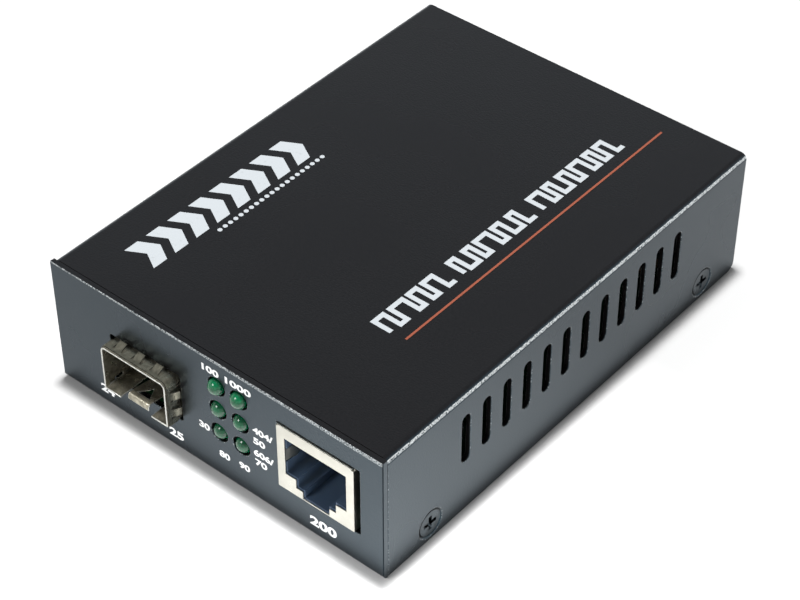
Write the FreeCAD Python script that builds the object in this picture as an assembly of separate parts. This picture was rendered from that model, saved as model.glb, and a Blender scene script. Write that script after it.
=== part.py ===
import FreeCAD, Part
import math
import os

# Fibre media converter: a folded steel tray and cover round one circuit board, with an SFP cage,
# six indicator lamps and an RJ45 jack at the front and a DC inlet at the rear.
# Millimetres. X is across the front, -Y is the front, +Z is up, and Z = 0 is what the case stands on.

# ---------------------------------------------------------------- case
case_width = 70.0
case_depth = 95.0
case_height = 25.5
sheet = 1.0                  # steel of the tray and the cover
bend = 0.2                   # inside radius of their folds
seam = 0.12                  # gap between the cover and the front panel, and over the rear panel
side_gap = 0.12              # gap between the cover's sides and the ears and rear panel inside them
cover_corner = 1.8           # of the cover's sides, at the lower rear
cover_lift = 0.1             # the cover's sides stop this far above the table
slot_count = 12
slot_pitch = 5.08
slot_width = 2.05
slot_bottom = 10.8
slot_from_top = 4.75

# ---------------------------------------------------------------- cover screws and the ears they hold to
screw_radius = 1.5           # M3
thread_gap = 0.03
head_radius = 2.65           # countersunk at 90 degrees
head_gap = 0.17              # to the rim of its seat
head_sink = 0.12             # below the cover's face
screw_length = 5.0
screw_height = 3.6
front_screw = 11.2           # from the front face
rear_screw = 10.2            # from the rear face
recess_length = 2.9
recess_width = 0.75
recess_depth = 0.8
ear_width = 10.0
ear_height = 7.0
ear_relief = 0.5
ear_corner = 1.5

# ---------------------------------------------------------------- circuit board and its posts
board_thickness = 1.6
board_side_gap = 0.5         # to the ears
board_front_gap = 0.4        # to the front panel
board_rear_gap = 0.6         # to the rear panel
post_height = 4.6
post_flats = 5.0             # across the hexagon
post_spigot_radius = 2.0
post_inset = 5.9             # from the board's sides
post_behind_jack = 4.75
post_from_rear = 7.9         # from the board's rear edge
board_hole_radius = 1.65
board_screw_length = 6.0
pan_head_radius = 2.8
pan_head_height = 1.9
pan_head_round = 0.85
pan_slot_width = 0.8
pan_slot_depth = 0.9

# ---------------------------------------------------------------- SFP cage
cage_from_side = 20.4        # its middle, from the case's left side
cage_standoff = 0.6          # above the board
cage_width = 14.2
cage_height = 9.2
cage_wall = 0.3
cage_corner = 1.0
cage_proud = 2.85            # how far the mouth stands in front of the panel
cage_length = 48.0
cage_window_width = 15.5
cage_window_height = 9.9
cage_window_corner = 0.5
cage_pins_per_side = 5
cage_pin_width = 0.8
cage_pin_reach = 0.6         # below the board
cage_pin_hole_radius = 0.56
cage_vent_radius = 0.8
cage_vent_pitch = 3.6
foot_slot_length = 3.0
foot_slot_height = 0.7
collar_sheet = 0.2
collar_setback = 0.35        # behind the mouth's rim
finger_root = 1.85           # in front of the panel
finger_tip = 0.3             # in front of the panel
finger_rise = 0.75
finger_bow = 0.46            # of the rise, half way along
finger_width = 1.65
finger_pitch = 4.05
side_finger_pitch = 3.55
side_finger_drop = 0.3        # below the cage's middle
finger_slit = 0.25
land_end = 0.45
mouth_gap_width = 6.8        # between the two lips of the cage's floor
lip_depth = 0.5
tab_width = 4.65
tab_root = 6.5               # behind the panel's face
tab_tip = 2.15               # in front of the panel's face
tab_lift = 1.15
tab_curl = 1.15
tab_nose = 0.25
tab_sheet = 0.24
latch_hole_width = 2.7
latch_hole_length = 2.4

# ---------------------------------------------------------------- host connector in the cage
host_width = 11.3
host_height = 5.4
host_depth = 9.2
host_setback = 1.2           # from the cage's rear wall
card_slot_width = 9.2
card_slot_height = 1.6
card_slot_depth = 6.0
card_slot_z = 2.9            # above the board
host_contacts = 10
host_pitch = 0.8
host_contact_width = 0.34
host_contact_sheet = 0.18
host_channel_width = 0.5
host_wall = 1.0              # round the channels, at the front and the top
host_foot = 0.9              # of the upper contacts, behind the socket
contact_mouth = 0.7          # from the card's middle, where a card enters
contact_pinch = 0.3          # from the card's middle, where a card is held
contact_throat = 1.2         # from a contact's tip to where it pinches
contact_arm = 3.5            # from a contact's tip to its first bend

# ---------------------------------------------------------------- RJ45 jack
jack_from_side = 13.35       # its middle, from the case's right side
jack_width = 15.5
jack_height = 13.55
jack_depth = 21.0
jack_proud = 0.25
shield_sheet = 0.25
shield_corner = 0.3
jack_window_left = 0.1       # gap between the shield and its window in the panel
jack_window_right = 1.0
jack_window_top = 0.15
jack_window_bottom = 0.1
jack_fit = 0.05              # between the shield and the moulding
port_width = 12.4            # the opening in the shield's face; heights are above the jack's underside
port_top_height = 11.1
port_ledge_height = 3.5
port_step_width = 8.1
port_step_height = 1.7
port_key_width = 5.4
port_key_height = 0.2
port_rim = 0.22              # how much smaller the moulding's mouth is, on each side
cavity_depth = 13.2
jack_roof = 0.75             # moulding above the cavity
side_tab_low_height = 6.2
side_tab_high_height = 8.6
side_tab_gap = 0.15
side_tab_lean = 0.6
side_tab_length = 3.6
side_tab_bow = 2.16
side_tab_sheet = 0.2
corner_notch = 0.4
shield_leg_width = 1.5
shield_leg_reach = 1.0       # below the board
wire_radius = 0.2
wire_pitch = 1.02
wire_count = 8
wire_bend = 0.35
wire_root_y = 5.0            # behind the jack's face
wire_front_y = 2.4
wire_end_y = 11.8
wire_end_height = 7.2
wire_hole_radius = 0.36
wire_joint = 0.64            # how far a wire goes into the small board
wire_drop = 0.45             # from the small board down to the wire's forward run
wire_fold = 0.85             # between the two runs at the front bend
comb_wall = 0.3
comb_depth = 2.4
comb_reach = 1.2             # below the wires' ends
small_board = 0.8
small_board_lap = 1.4        # ahead of which the wires' front bends stay clear
magnetics_depth = 4.2
tail_count = 10
tail_pitch = 1.27
tail_radius = 0.25

# ---------------------------------------------------------------- lamps
lamp_radius = 1.5
lamp_left_x = 1.25
lamp_right_x = 5.95
lamp_above_board = 3.0       # the bottom row's axis
lamp_from_top = 5.3          # the top row's axis, from the case's top
lamp_proud = {"top": 1.3, "middle": 0.9, "bottom": 0.6}
lamp_hole_radius = 1.8
lamp_length = 5.3
lamp_flange_radius = 1.8
lamp_flange = 1.0
lamp_fit = 0.05
holder_side = 2.3            # from a lamp's axis to the holder's side
holder_top = 2.2             # from the top lamp's axis
holder_front_gap = 0.2
holder_depth = 5.0
holder_corner = 0.4
lead_radius = 0.25
lead_spread = 1.27
lead_bend = 0.6
lead_rows = {"bottom": 2.4, "middle": 3.9, "top": 5.4}    # behind the holder's front lamps' ends
lead_reach = 1.2             # below the board
lead_hole_radius = 0.45

# ---------------------------------------------------------------- DC inlet
inlet_x = -14.0
inlet_width = 9.0
inlet_height = 11.0
inlet_depth = 14.0
inlet_proud = 0.3
inlet_axis_height = 6.5      # above the board
inlet_bore_radius = 3.15
inlet_bore_depth = 9.6
inlet_pin_radius = 1.0
inlet_pin_neck = 0.7         # where it goes through the moulding
inlet_pin_setback = 0.6
inlet_pin_tip = 0.4
inlet_window_gap = 0.15
inlet_spring_width = 2.4
inlet_spring_sheet = 0.3
inlet_spring_drop = 0.48     # below the bore
inlet_spring_rise = 0.1      # into the bore
inlet_spring_room = 0.78     # free below the bore
inlet_spring_bend = 4.2      # these three are from the inlet's face
inlet_spring_crest = 2.6
inlet_spring_end = 1.4
inlet_tag_width = 2.0
inlet_tag_reach = 1.0

# ---------------------------------------------------------------- parts on the board
chip_x = 2.0
chip_behind_cage = 14.35
chip_size = 14.0
chip_height = 1.5
chip_leads_per_side = 16
chip_lead_pitch = 0.8
chip_lead_width = 0.3
chip_lead_sheet = 0.15
chip_lead_reach = 1.2
chip_lead_root = 0.2
chip_lead_knee = 0.32
memory_x = -13.0
memory_behind_cage = 9.35
memory_parts_gap = 6.0
memory_size = (5.0, 4.0, 1.5)
memory_leads_per_side = 4
memory_lead_pitch = 1.27
crystal_from_side = 17.0     # from the case's right side
crystal_behind_jack = 22.75
crystal_length = 11.0
crystal_width = 4.6
crystal_height = 3.4
crystal_rim = 0.4
crystal_rim_height = 0.45
regulator_from_side = 15.0   # from the case's right side
regulator_from_rear = 14.9
regulator_size = (6.5, 3.5, 1.6)
regulator_leg_pitch = 2.3
regulator_leg_width = 0.7
regulator_reach = 1.6
regulator_parts_gap = 8.0
coil_x = -4.0
coil_from_rear = 5.9
coil_size = 7.6
coil_height = 4.2
coil_corner = 1.3
coil_ring_radius = 3.0
coil_ring_width = 0.45
coil_ring_depth = 0.5
diode_from_inlet = 6.8
diode_size = (6.8, 5.8, 2.3)
can_radius = 4.0
can_height = 11.0
can_inset = 5.4              # from the board's left side
cans_from_rear = (31.9, 21.9)
can_groove_height = 1.5
can_groove_radius = 0.5
can_groove_depth = 0.25
can_rim = 0.6
chip_part_size = (2.0, 1.25, 0.6)
chip_part_pitch = 3.2
rear_parts_inset = 10.0      # from the rear right post

# ---------------------------------------------------------------- print on the cover
print_thickness = 0.05
emblem_count = 8
emblem_pitch = 4.9
emblem_top = -27.7
emblem_foot = -21.0
emblem_start = -38.0
emblem_stroke = 3.0
emblem_point = 1.85
dot_count = 21
dot_pitch = 1.25
dot_radius = 0.42
dot_x = -19.5
dot_start = -24.3
pulse_top = 14.0
pulse_foot = 17.6
pulse_start = -25.0
pulse_stroke = 0.9
pulse_words = ((2.2, 1.6, 3.0, 1.4, 2.0, 1.5, 2.4, 1.6), (1.5, 2.3, 1.5, 1.5, 2.9, 1.5, 1.8, 2.2, 1.5, 1.8),
               (2.6, 1.5, 1.5, 2.2, 1.8, 1.5, 2.5, 1.6, 1.5, 1.5, 2.0, 1.6))
pulse_word_gap = 2.4
stripe_x = 20.4
stripe_width = 0.4
stripe_start = -24.9
stripe_end = 43.1

# ---------------------------------------------------------------- worked out from the values above
over = 1.0                   # how far a cutting tool runs past what it cuts
near = 0.01                  # when two places count as one
half_width = case_width / 2
cage_x = -half_width + cage_from_side
jack_x = half_width - jack_from_side
front = -case_depth / 2
rear = case_depth / 2
outer_bend = bend + sheet
ear_face = half_width - sheet - side_gap
front_screw_y = front + front_screw
rear_screw_y = rear - rear_screw
board_bottom = sheet + post_height
board_top = board_bottom + board_thickness
board_half = ear_face - sheet - board_side_gap
board_front = front + sheet + board_front_gap
board_rear = rear - sheet - board_rear_gap
cage_bottom = board_top + cage_standoff
cage_top = cage_bottom + cage_height
cage_mouth = front - cage_proud
cage_back = cage_mouth + cage_length
cage_half = cage_width / 2
cage_z = cage_bottom + cage_height / 2
host_rear = cage_back - cage_wall - host_setback
host_front = host_rear - host_depth
jack_face = front - jack_proud
jack_bottom = board_top
jack_top = jack_bottom + jack_height
jack_half = jack_width / 2
jack_back = jack_face + jack_depth
port_top = jack_bottom + port_top_height
port_ledge = jack_bottom + port_ledge_height
port_step_ledge = jack_bottom + port_step_height
port_key_ledge = jack_bottom + port_key_height
side_tab_low = jack_bottom + side_tab_low_height
side_tab_high = jack_bottom + side_tab_high_height
wire_end_z = jack_bottom + wire_end_height
moulding_front = jack_face + shield_sheet + jack_fit
moulding_half = jack_half - shield_sheet - jack_fit
cavity_top = port_top - port_rim
roof_top = cavity_top + jack_roof
lamp_bottom_z = board_top + lamp_above_board
lamp_top_z = case_height - lamp_from_top
lamp_rows = {"top": lamp_top_z, "middle": (lamp_top_z + lamp_bottom_z) / 2, "bottom": lamp_bottom_z}
holder_front = front + sheet + holder_front_gap
holder_back = holder_front + holder_depth
holder_left = lamp_left_x - holder_side
holder_right = lamp_right_x + holder_side
inlet_face = rear + inlet_proud
inlet_z = board_top + inlet_axis_height
inlet_back = inlet_face - inlet_depth
cover_top = case_height
rear_panel_top = case_height - sheet - seam
slot_top = case_height - slot_from_top
post_column = board_half - post_inset
post_front_row = jack_back + post_behind_jack
post_rear_row = board_rear - post_from_rear
chip_place = (chip_x, cage_back + chip_behind_cage)
memory_place = (memory_x, cage_back + memory_behind_cage)
crystal_place = (half_width - crystal_from_side, jack_back + crystal_behind_jack)
regulator_place = (half_width - regulator_from_side, board_rear - regulator_from_rear)
coil_place = (coil_x, board_rear - coil_from_rear)
diode_place = (inlet_x, inlet_back - diode_from_inlet)
can_column = -board_half + can_inset


def V(x, y, z):
    """A point or a direction."""
    return FreeCAD.Vector(x, y, z)


def block(x0, x1, y0, y1, z0, z1):
    """A box between two corners."""
    return Part.makeBox(x1 - x0, y1 - y0, z1 - z0, V(x0, y0, z0))


def rod(radius, start, end):
    """A round bar from one point to another."""
    return Part.makeCylinder(radius, (end - start).Length, start, end - start)


def cone(start_radius, end_radius, start, end):
    """A taper from one point to another."""
    return Part.makeCone(start_radius, end_radius, (end - start).Length, start, end - start)


def fuse(shapes):
    """Several shapes made one."""
    return shapes[0].multiFuse(shapes[1:]).removeSplitter() if len(shapes) > 1 else shapes[0]


def rounded(shape, radius, along, chosen=lambda middle: True):
    """Round the edges that run along an axis and whose middle is chosen."""
    axis = {"x": V(1, 0, 0), "y": V(0, 1, 0), "z": V(0, 0, 1)}[along]
    edges = []
    for edge in shape.Edges:
        ends = [v.Point for v in edge.Vertexes]
        if len(ends) == 2 and abs((ends[1] - ends[0]).normalize().dot(axis)) > 1 - near:
            if chosen((ends[0] + ends[1]) * 0.5):
                edges.append(edge)
    return shape.makeFillet(radius, edges)


def in_plane(across, a, b, level):
    """A point of a drawing whose width runs across one axis: (a, b) are the other two axes, in order."""
    return {"x": V(level, a, b), "y": V(a, level, b), "z": V(a, b, level)}[across]


def prism(points, across, low, high):
    """A flat outline pulled along one axis."""
    corners = [in_plane(across, a, b, low) for a, b in points]
    face = Part.Face(Part.makePolygon(corners + corners[:1]))
    return face.extrude(in_plane(across, 0, 0, high - low))


def ribbon(points, thickness, across, low, high):
    """A strip of sheet bent along a line of points, as wide as low to high along one axis."""
    sides = []
    for i, (a, b) in enumerate(points):
        ways = []
        for j in (i - 1, i):
            if 0 <= j < len(points) - 1:
                da, db = points[j + 1][0] - points[j][0], points[j + 1][1] - points[j][1]
                length = math.hypot(da, db)
                ways.append((-db / length, da / length))
        na, nb = sum(w[0] for w in ways), sum(w[1] for w in ways)
        size = math.hypot(na, nb)
        mitre = thickness / 2 / (size / len(ways))
        sides.append((na / size * mitre, nb / size * mitre))
    upper = [(p[0] + s[0], p[1] + s[1]) for p, s in zip(points, sides)]
    lower = [(p[0] - s[0], p[1] - s[1]) for p, s in zip(points, sides)]
    return prism(upper + lower[::-1], across, low, high)


def tube(points, radius, turn):
    """A round wire through points, with each corner bent to one radius."""
    edges = []
    start = points[0]
    for before, corner, after in zip(points, points[1:], points[2:]):
        into = (corner - before).normalize()
        out = (after - corner).normalize()
        angle = into.getAngle(out)
        reach = turn * math.tan(angle / 2)
        first, last = corner - into * reach, corner + out * reach
        inward = (out - into).normalize()
        middle = corner + inward * (turn / math.cos(angle / 2) - turn)
        edges.append(Part.LineSegment(start, first).toShape())
        edges.append(Part.Arc(first, middle, last).toShape())
        start = last
    edges.append(Part.LineSegment(start, points[-1]).toShape())
    ring = Part.Wire(Part.makeCircle(radius, points[0], points[1] - points[0]))
    return Part.Wire(edges).makePipeShell([ring], True, False)


def group(solids):
    """Separate solids kept in one node."""
    return Part.makeCompound(solids)


def save(name, shape):
    """Write one node."""
    shape.exportStep(os.path.join("parts", name + ".step"))


# ================================================================ case
def screw_places():
    """The four cover screws: the side of the case and the place along it."""
    return [(side, y) for side in (-1, 1) for y in (front_screw_y, rear_screw_y)]


def countersink(side, y):
    """The tapered seat of one cover screw."""
    wide = head_radius + head_gap
    depth = wide - screw_radius
    return cone(wide + over, screw_radius, V(side * (half_width + over), y, screw_height),
                V(side * (half_width - depth), y, screw_height))


def ear(side, y):
    """A flange folded up from the floor's edge, inside the cover, to take a screw."""
    foot = outer_bend + ear_relief
    wide = ear_width / 2
    outside = block(ear_face - foot, ear_face, y - wide, y + wide, 0, ear_height)
    outside = rounded(outside, outer_bend, "y", lambda m: m.x > ear_face - near and m.z < near)
    outside = rounded(outside, ear_corner, "x", lambda m: m.z > ear_height - near)
    inside = block(ear_face - foot - over, ear_face - sheet, y - wide - over, y + wide + over,
                   sheet, ear_height + over)
    inside = rounded(inside, bend, "y", lambda m: m.x > ear_face - sheet - near and m.z < sheet + near)
    shape = outside.cut(inside)
    hole = rod(screw_radius, V(ear_face - foot, y, screw_height), V(ear_face + over, y, screw_height))
    shape = shape.cut(fuse([hole, countersink(1, y)]))
    return shape if side > 0 else shape.mirror(V(0, 0, 0), V(1, 0, 0))


def panel_windows():
    """What is cut out of the front panel."""
    deep = front + sheet + over
    cage = block(cage_x - cage_window_width / 2, cage_x + cage_window_width / 2, front - over, deep,
                 cage_z - cage_window_height / 2, cage_z + cage_window_height / 2)
    cage = rounded(cage, cage_window_corner, "y")
    jack = block(jack_x - jack_half - jack_window_left, jack_x + jack_half + jack_window_right,
                 front - over, deep, jack_bottom - jack_window_bottom, jack_top + jack_window_top)
    lamps = [rod(lamp_hole_radius, V(x, front - over, z), V(x, deep, z))
             for x in (lamp_left_x, lamp_right_x) for z in lamp_rows.values()]
    return [cage, jack] + lamps


def base_tray():
    """Floor, front panel and rear panel, which the cover laps, from one folded sheet, with four ears."""
    outside = block(-half_width, half_width, front, rear, 0, case_height)
    outside = rounded(outside, outer_bend, "x", lambda m: m.z < near)
    inside = block(-half_width - over, half_width + over, front + sheet, rear - sheet,
                   sheet, case_height + over)
    inside = rounded(inside, bend, "x", lambda m: m.z < sheet + near)
    shape = outside.cut(inside)
    cuts = panel_windows()
    for side in (-1, 1):
        far, close = side * (half_width + over), side * ear_face
        cuts.append(block(min(far, close), max(far, close), front + sheet, rear + over,
                          -over, case_height + over))
    cuts.append(block(-half_width - over, half_width + over, rear - sheet - over, rear + over,
                      rear_panel_top, case_height + over))
    foot = outer_bend + ear_relief
    for side, y in screw_places():
        far, close = side * (ear_face + over), side * (ear_face - foot)
        wide = ear_width / 2 + ear_relief
        cuts.append(block(min(far, close), max(far, close), y - wide, y + wide, -over, sheet + over))
    for x, y in post_places():
        cuts.append(rod(post_spigot_radius, V(x, y, -over), V(x, y, sheet + over)))
    wide = inlet_width / 2 + inlet_window_gap
    cuts.append(block(inlet_x - wide, inlet_x + wide, rear - sheet - over, rear + over,
                      board_top - inlet_window_gap, board_top + inlet_height + inlet_window_gap))
    shape = shape.cut(group(cuts))
    return fuse([shape] + [ear(side, y) for side, y in screw_places()])


def vent_slot(y):
    """One upright slot with round ends, through both sides of the cover."""
    r = slot_width / 2
    x = half_width + over
    low, high = slot_bottom + r, slot_top - r
    return fuse([block(-x, x, y - r, y + r, low, high), rod(r, V(-x, y, low), V(x, y, low)),
                 rod(r, V(-x, y, high), V(x, y, high))])


def top_cover():
    """Top and both sides from one folded sheet, from the back of the front panel to over the rear panel."""
    y0 = front + sheet + seam
    outside = block(-half_width, half_width, y0, rear, cover_lift, case_height)
    outside = rounded(outside, outer_bend, "y", lambda m: m.z > case_height - near)
    outside = rounded(outside, cover_corner, "x", lambda m: m.y > rear - near and m.z < cover_lift + near)
    inside = block(-half_width + sheet, half_width - sheet, y0 - over, rear + over,
                   -over, case_height - sheet)
    inside = rounded(inside, bend, "y", lambda m: m.z > case_height - sheet - near)
    cuts = [vent_slot((i - (slot_count - 1) / 2) * slot_pitch) for i in range(slot_count)]
    for side, y in screw_places():
        cuts.append(countersink(side, y))
        cuts.append(rod(screw_radius + head_gap - head_sink, V(side * half_width, y, screw_height),
                        V(side * ear_face, y, screw_height)))
    return outside.cut(inside).cut(group(cuts))


def cross_recess(x, y, z, way):
    """A cross cut into a screw's head, along X, from its face."""
    half, thin = recess_length / 2, recess_width / 2
    x0, x1 = sorted((x - way * over, x + way * recess_depth))
    return fuse([block(x0, x1, y - half, y + half, z - thin, z + thin),
                 block(x0, x1, y - thin, y + thin, z - half, z + half)])


def cover_screws():
    """Four countersunk cross-head screws."""
    solids = []
    for side, y in screw_places():
        face = V(side * (half_width - head_sink), y, screw_height)
        inward = V(-side, 0, 0)
        neck = screw_radius - thread_gap
        head = cone(head_radius, neck, face, face + inward * (head_radius - neck))
        shank = rod(neck, face + inward * (head_radius - neck), face + inward * screw_length)
        solids.append(fuse([head, shank]).cut(cross_recess(face.x, y, screw_height, -side)))
    return group(solids)


# ================================================================ circuit board
def post_places():
    """Where the board is screwed down."""
    return [(side * post_column, y) for side in (-1, 1) for y in (post_front_row, post_rear_row)]


def lamp_places():
    """Each lamp: its side, its row, and the two coordinates of its axis."""
    return [(side, row, x, z) for side, x in (("left", lamp_left_x), ("right", lamp_right_x))
            for row, z in lamp_rows.items()]


def lead_line(row):
    """How far back the leads of one row of lamps go before they turn down."""
    return holder_back + lead_rows[row] - lead_rows["bottom"] + lead_bend + lead_radius + lamp_fit


def lead_places():
    """The twelve lamp leads: the lamp's row, the lead's x and the lamp's height."""
    return [(row, x + way * lead_spread, z) for side, row, x, z in lamp_places() for way in (-1, 1)]


def cage_pin_places():
    """The cage's pins: which wall, and the place along it."""
    first, last = board_front + cage_pin_width * 2, cage_back - cage_pin_width * 2
    step = (last - first) / (cage_pins_per_side - 1)
    return [(side, first + i * step) for side in (-1, 1) for i in range(cage_pins_per_side)]


def tail_places():
    """The RJ45 jack's solder tails."""
    y = jack_back - shield_sheet - jack_fit - 2 * tail_radius - jack_fit
    return [(jack_x + (i - (tail_count - 1) / 2) * tail_pitch, y) for i in range(tail_count)]


def leg_places():
    """The two legs of the RJ45 jack's shield."""
    return [(side, jack_face + jack_depth / 2) for side in (-1, 1)]


def inlet_tag_places():
    """The DC inlet's two tags, as distances along Y."""
    return {"pin": inlet_back + inlet_spring_sheet, "spring": inlet_back + inlet_depth / 3}


def circuit_board():
    """The board, with a hole for all that goes through it."""
    board = block(-board_half, board_half, board_front, board_rear, board_bottom, board_top)
    low, high = board_bottom - over, board_top + over
    cuts = [rod(board_hole_radius, V(x, y, low), V(x, y, high)) for x, y in post_places()]
    cuts += [rod(lead_hole_radius, V(x, lead_line(row), low), V(x, lead_line(row), high))
             for row, x, z in lead_places()]
    for side, y in cage_pin_places():
        x = cage_x + side * (cage_half - cage_wall / 2)
        cuts.append(rod(cage_pin_hole_radius, V(x, y, low), V(x, y, high)))
    cuts += [rod(tail_radius + lamp_fit * 2, V(x, y, low), V(x, y, high)) for x, y in tail_places()]
    for side, y in leg_places():
        x = jack_x + side * (jack_half - shield_sheet / 2)
        cuts.append(block(x - shield_sheet, x + shield_sheet, y - shield_leg_width / 2 - shield_sheet,
                          y + shield_leg_width / 2 + shield_sheet, low, high))
    for y in inlet_tag_places().values():
        wide = inlet_tag_width / 2 + inlet_spring_sheet
        cuts.append(block(inlet_x - wide, inlet_x + wide, y - inlet_spring_sheet, y + inlet_spring_sheet,
                          low, high))
    return board.cut(group(cuts))


def hexagon(x, y, across_flats, z0, z1):
    """An upright six-sided bar."""
    reach = across_flats / math.sqrt(3)
    turns = [math.radians(60 * i) for i in range(6)]
    return prism([(x + reach * math.cos(t), y + reach * math.sin(t)) for t in turns], "z", z0, z1)


def board_posts():
    """Hexagonal threaded posts, pressed into the floor."""
    solids = []
    for x, y in post_places():
        post = hexagon(x, y, post_flats, sheet, board_bottom)
        spigot = rod(post_spigot_radius - thread_gap, V(x, y, 0), V(x, y, sheet))
        thread = rod(screw_radius, V(x, y, sheet), V(x, y, board_bottom + over))
        solids.append(fuse([post, spigot]).cut(thread))
    return group(solids)


def board_screws():
    """Pan-head screws through the board into the posts."""
    solids = []
    for x, y in post_places():
        head = rod(pan_head_radius, V(x, y, board_top), V(x, y, board_top + pan_head_height))
        crown = [edge for edge in head.Edges if edge.BoundBox.ZMin > board_top + near]
        head = head.makeFillet(pan_head_round, crown)
        top = board_top + pan_head_height
        shank = rod(screw_radius - thread_gap, V(x, y, top - board_screw_length), V(x, y, board_top))
        half, thin = recess_length / 2, pan_slot_width / 2
        cross = fuse([block(x - half, x + half, y - thin, y + thin, top - pan_slot_depth, top + over),
                      block(x - thin, x + thin, y - half, y + half, top - pan_slot_depth, top + over)])
        solids.append(fuse([head, shank]).cut(cross))
    return group(solids)


# ================================================================ SFP cage
def cage_vents():
    """Round holes in the cage's roof, behind the panel."""
    tools = []
    y = front + sheet + 2 * cage_vent_pitch
    while y < cage_back - 2 * cage_vent_pitch:
        for column in (-1, 0, 1):
            x = cage_x + column * cage_vent_pitch
            low, high = V(x, y, cage_top - cage_wall - over), V(x, y, cage_top + over)
            tools.append(rod(cage_vent_radius, low, high))
        y += cage_vent_pitch
    return tools


def sfp_cage_shell():
    """Roof, two walls and rear wall of the cage, with the pins that go into the board."""
    outside = block(cage_x - cage_half, cage_x + cage_half, cage_mouth, cage_back, cage_bottom, cage_top)
    outside = rounded(outside, cage_corner, "y", lambda m: m.z > cage_top - near)
    inner = cage_half - cage_wall
    inside = block(cage_x - inner, cage_x + inner, cage_mouth - over, cage_back - cage_wall,
                   cage_bottom - over, cage_top - cage_wall)
    inside = rounded(inside, cage_corner - cage_wall, "y", lambda m: m.z > cage_top - cage_wall - near)
    shape = outside.cut(inside)
    foot = block(cage_x - cage_half - over, cage_x + cage_half + over, cage_mouth + lip_depth * 2,
                 cage_mouth + lip_depth * 2 + foot_slot_length, cage_bottom + cage_wall,
                 cage_bottom + cage_wall + foot_slot_height)
    shape = shape.cut(group(cage_vents() + [foot]))
    pins = []
    for side, y in cage_pin_places():
        x0, x1 = sorted((cage_x + side * cage_half, cage_x + side * inner))
        pins.append(block(x0, x1, y - cage_pin_width / 2, y + cage_pin_width / 2,
                          board_bottom - cage_pin_reach, cage_bottom + cage_wall))
        pins.append(block(x0, x1, y - cage_pin_width, y + cage_pin_width,
                          board_top, cage_bottom + cage_wall))
    return fuse([shape] + pins)


def sfp_cage_floor():
    """Floor of the cage, with two lips at the mouth and a sprung latch tab between them."""
    inner = cage_half - cage_wall
    low, high = cage_bottom, cage_bottom + cage_wall
    root = front + tab_root
    plate = block(cage_x - inner, cage_x + inner, cage_mouth, host_front - host_setback, low, high)
    gap = block(cage_x - mouth_gap_width / 2, cage_x + mouth_gap_width / 2, cage_mouth - over, root,
                low - over, high + over)
    middle = low + cage_wall / 2
    peak = middle + tab_lift
    tip = front - tab_tip
    line = [(root + cage_wall, middle), (root - cage_wall, middle), (tip + 2 * tab_nose, peak),
            (tip + tab_nose, peak - tab_nose / 2), (tip, peak - 2 * tab_nose), (tip, peak - tab_curl)]
    tab = ribbon(line, tab_sheet, "x", cage_x - tab_width / 2, cage_x + tab_width / 2)
    near_edge = tip + tab_curl
    hole = prism([(cage_x - latch_hole_width / 2, near_edge), (cage_x + latch_hole_width / 2, near_edge),
                  (cage_x, near_edge + latch_hole_length)], "z", low - over, cage_top)
    return fuse([plate.cut(gap), tab.cut(hole)])


def collar_band(y0, y1, grow):
    """A strip of sheet wrapped round the roof and walls of the cage."""
    out = cage_half + grow
    outside = block(cage_x - out, cage_x + out, y0, y1, cage_bottom, cage_top + grow)
    outside = rounded(outside, cage_corner + grow, "y", lambda m: m.z > cage_top + grow - near)
    inside = block(cage_x - cage_half, cage_x + cage_half, y0 - over, y1 + over,
                   cage_bottom - over, cage_top)
    inside = rounded(inside, cage_corner, "y", lambda m: m.z > cage_top - near)
    return outside.cut(inside)


def sfp_collar():
    """The spring collar at the cage's mouth: three fingers on its roof and two on each wall."""
    band = collar_band(cage_mouth + collar_setback, front - land_end, collar_sheet)
    start, end = front - finger_root, front - finger_tip
    bow = (start + end) / 2
    cuts, fingers = [], []
    half = finger_width / 2
    level = cage_top + collar_sheet / 2
    line = [(start - finger_slit, level), (start, level),
            (bow, level + finger_bow), (end, level + finger_rise)]
    for i in (-1, 0, 1):
        x = cage_x + i * finger_pitch
        wide = half + finger_slit
        cuts.append(block(x - wide, x + wide, start, front, cage_top, cage_top + over))
        fingers.append(ribbon(line, collar_sheet, "x", x - half, x + half))
    for side in (-1, 1):
        wall = cage_x + side * (cage_half + collar_sheet / 2)
        bent = [(wall, start - finger_slit), (wall, start), (wall + side * finger_bow, bow),
                (wall + side * finger_rise, end)]
        for i in (-0.5, 0.5):
            z = cage_z - side_finger_drop + i * side_finger_pitch
            x0, x1 = sorted((cage_x + side * (cage_half - near), cage_x + side * (cage_half + over)))
            cuts.append(block(x0, x1, start, front, z - half - finger_slit, z + half + finger_slit))
            fingers.append(ribbon(bent, collar_sheet, "z", z - half, z + half))
    return fuse([band.cut(group(cuts))] + fingers)


def sfp_host_connector():
    """The socket at the rear of the cage that a module's edge card goes into."""
    half = host_width / 2
    body = block(cage_x - half, cage_x + half, host_front, host_rear, board_top, board_top + host_height)
    z = board_top + card_slot_z
    slot = block(cage_x - card_slot_width / 2, cage_x + card_slot_width / 2, host_front - over,
                 host_front + card_slot_depth, z - card_slot_height / 2, z + card_slot_height / 2)
    channels = []
    for x in host_contact_places():
        wide = host_channel_width / 2
        channels.append(block(x - wide, x + wide, host_front + host_wall, host_rear + over,
                              board_top - over, board_top + host_height - host_wall))
    return rounded(body, cage_wall, "y", lambda m: m.z > board_top + near).cut(group([slot] + channels))


def host_contact_places():
    """Where each pair of contacts stands across the socket."""
    return [cage_x + (i - (host_contacts - 1) / 2) * host_pitch for i in range(host_contacts)]


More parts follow.
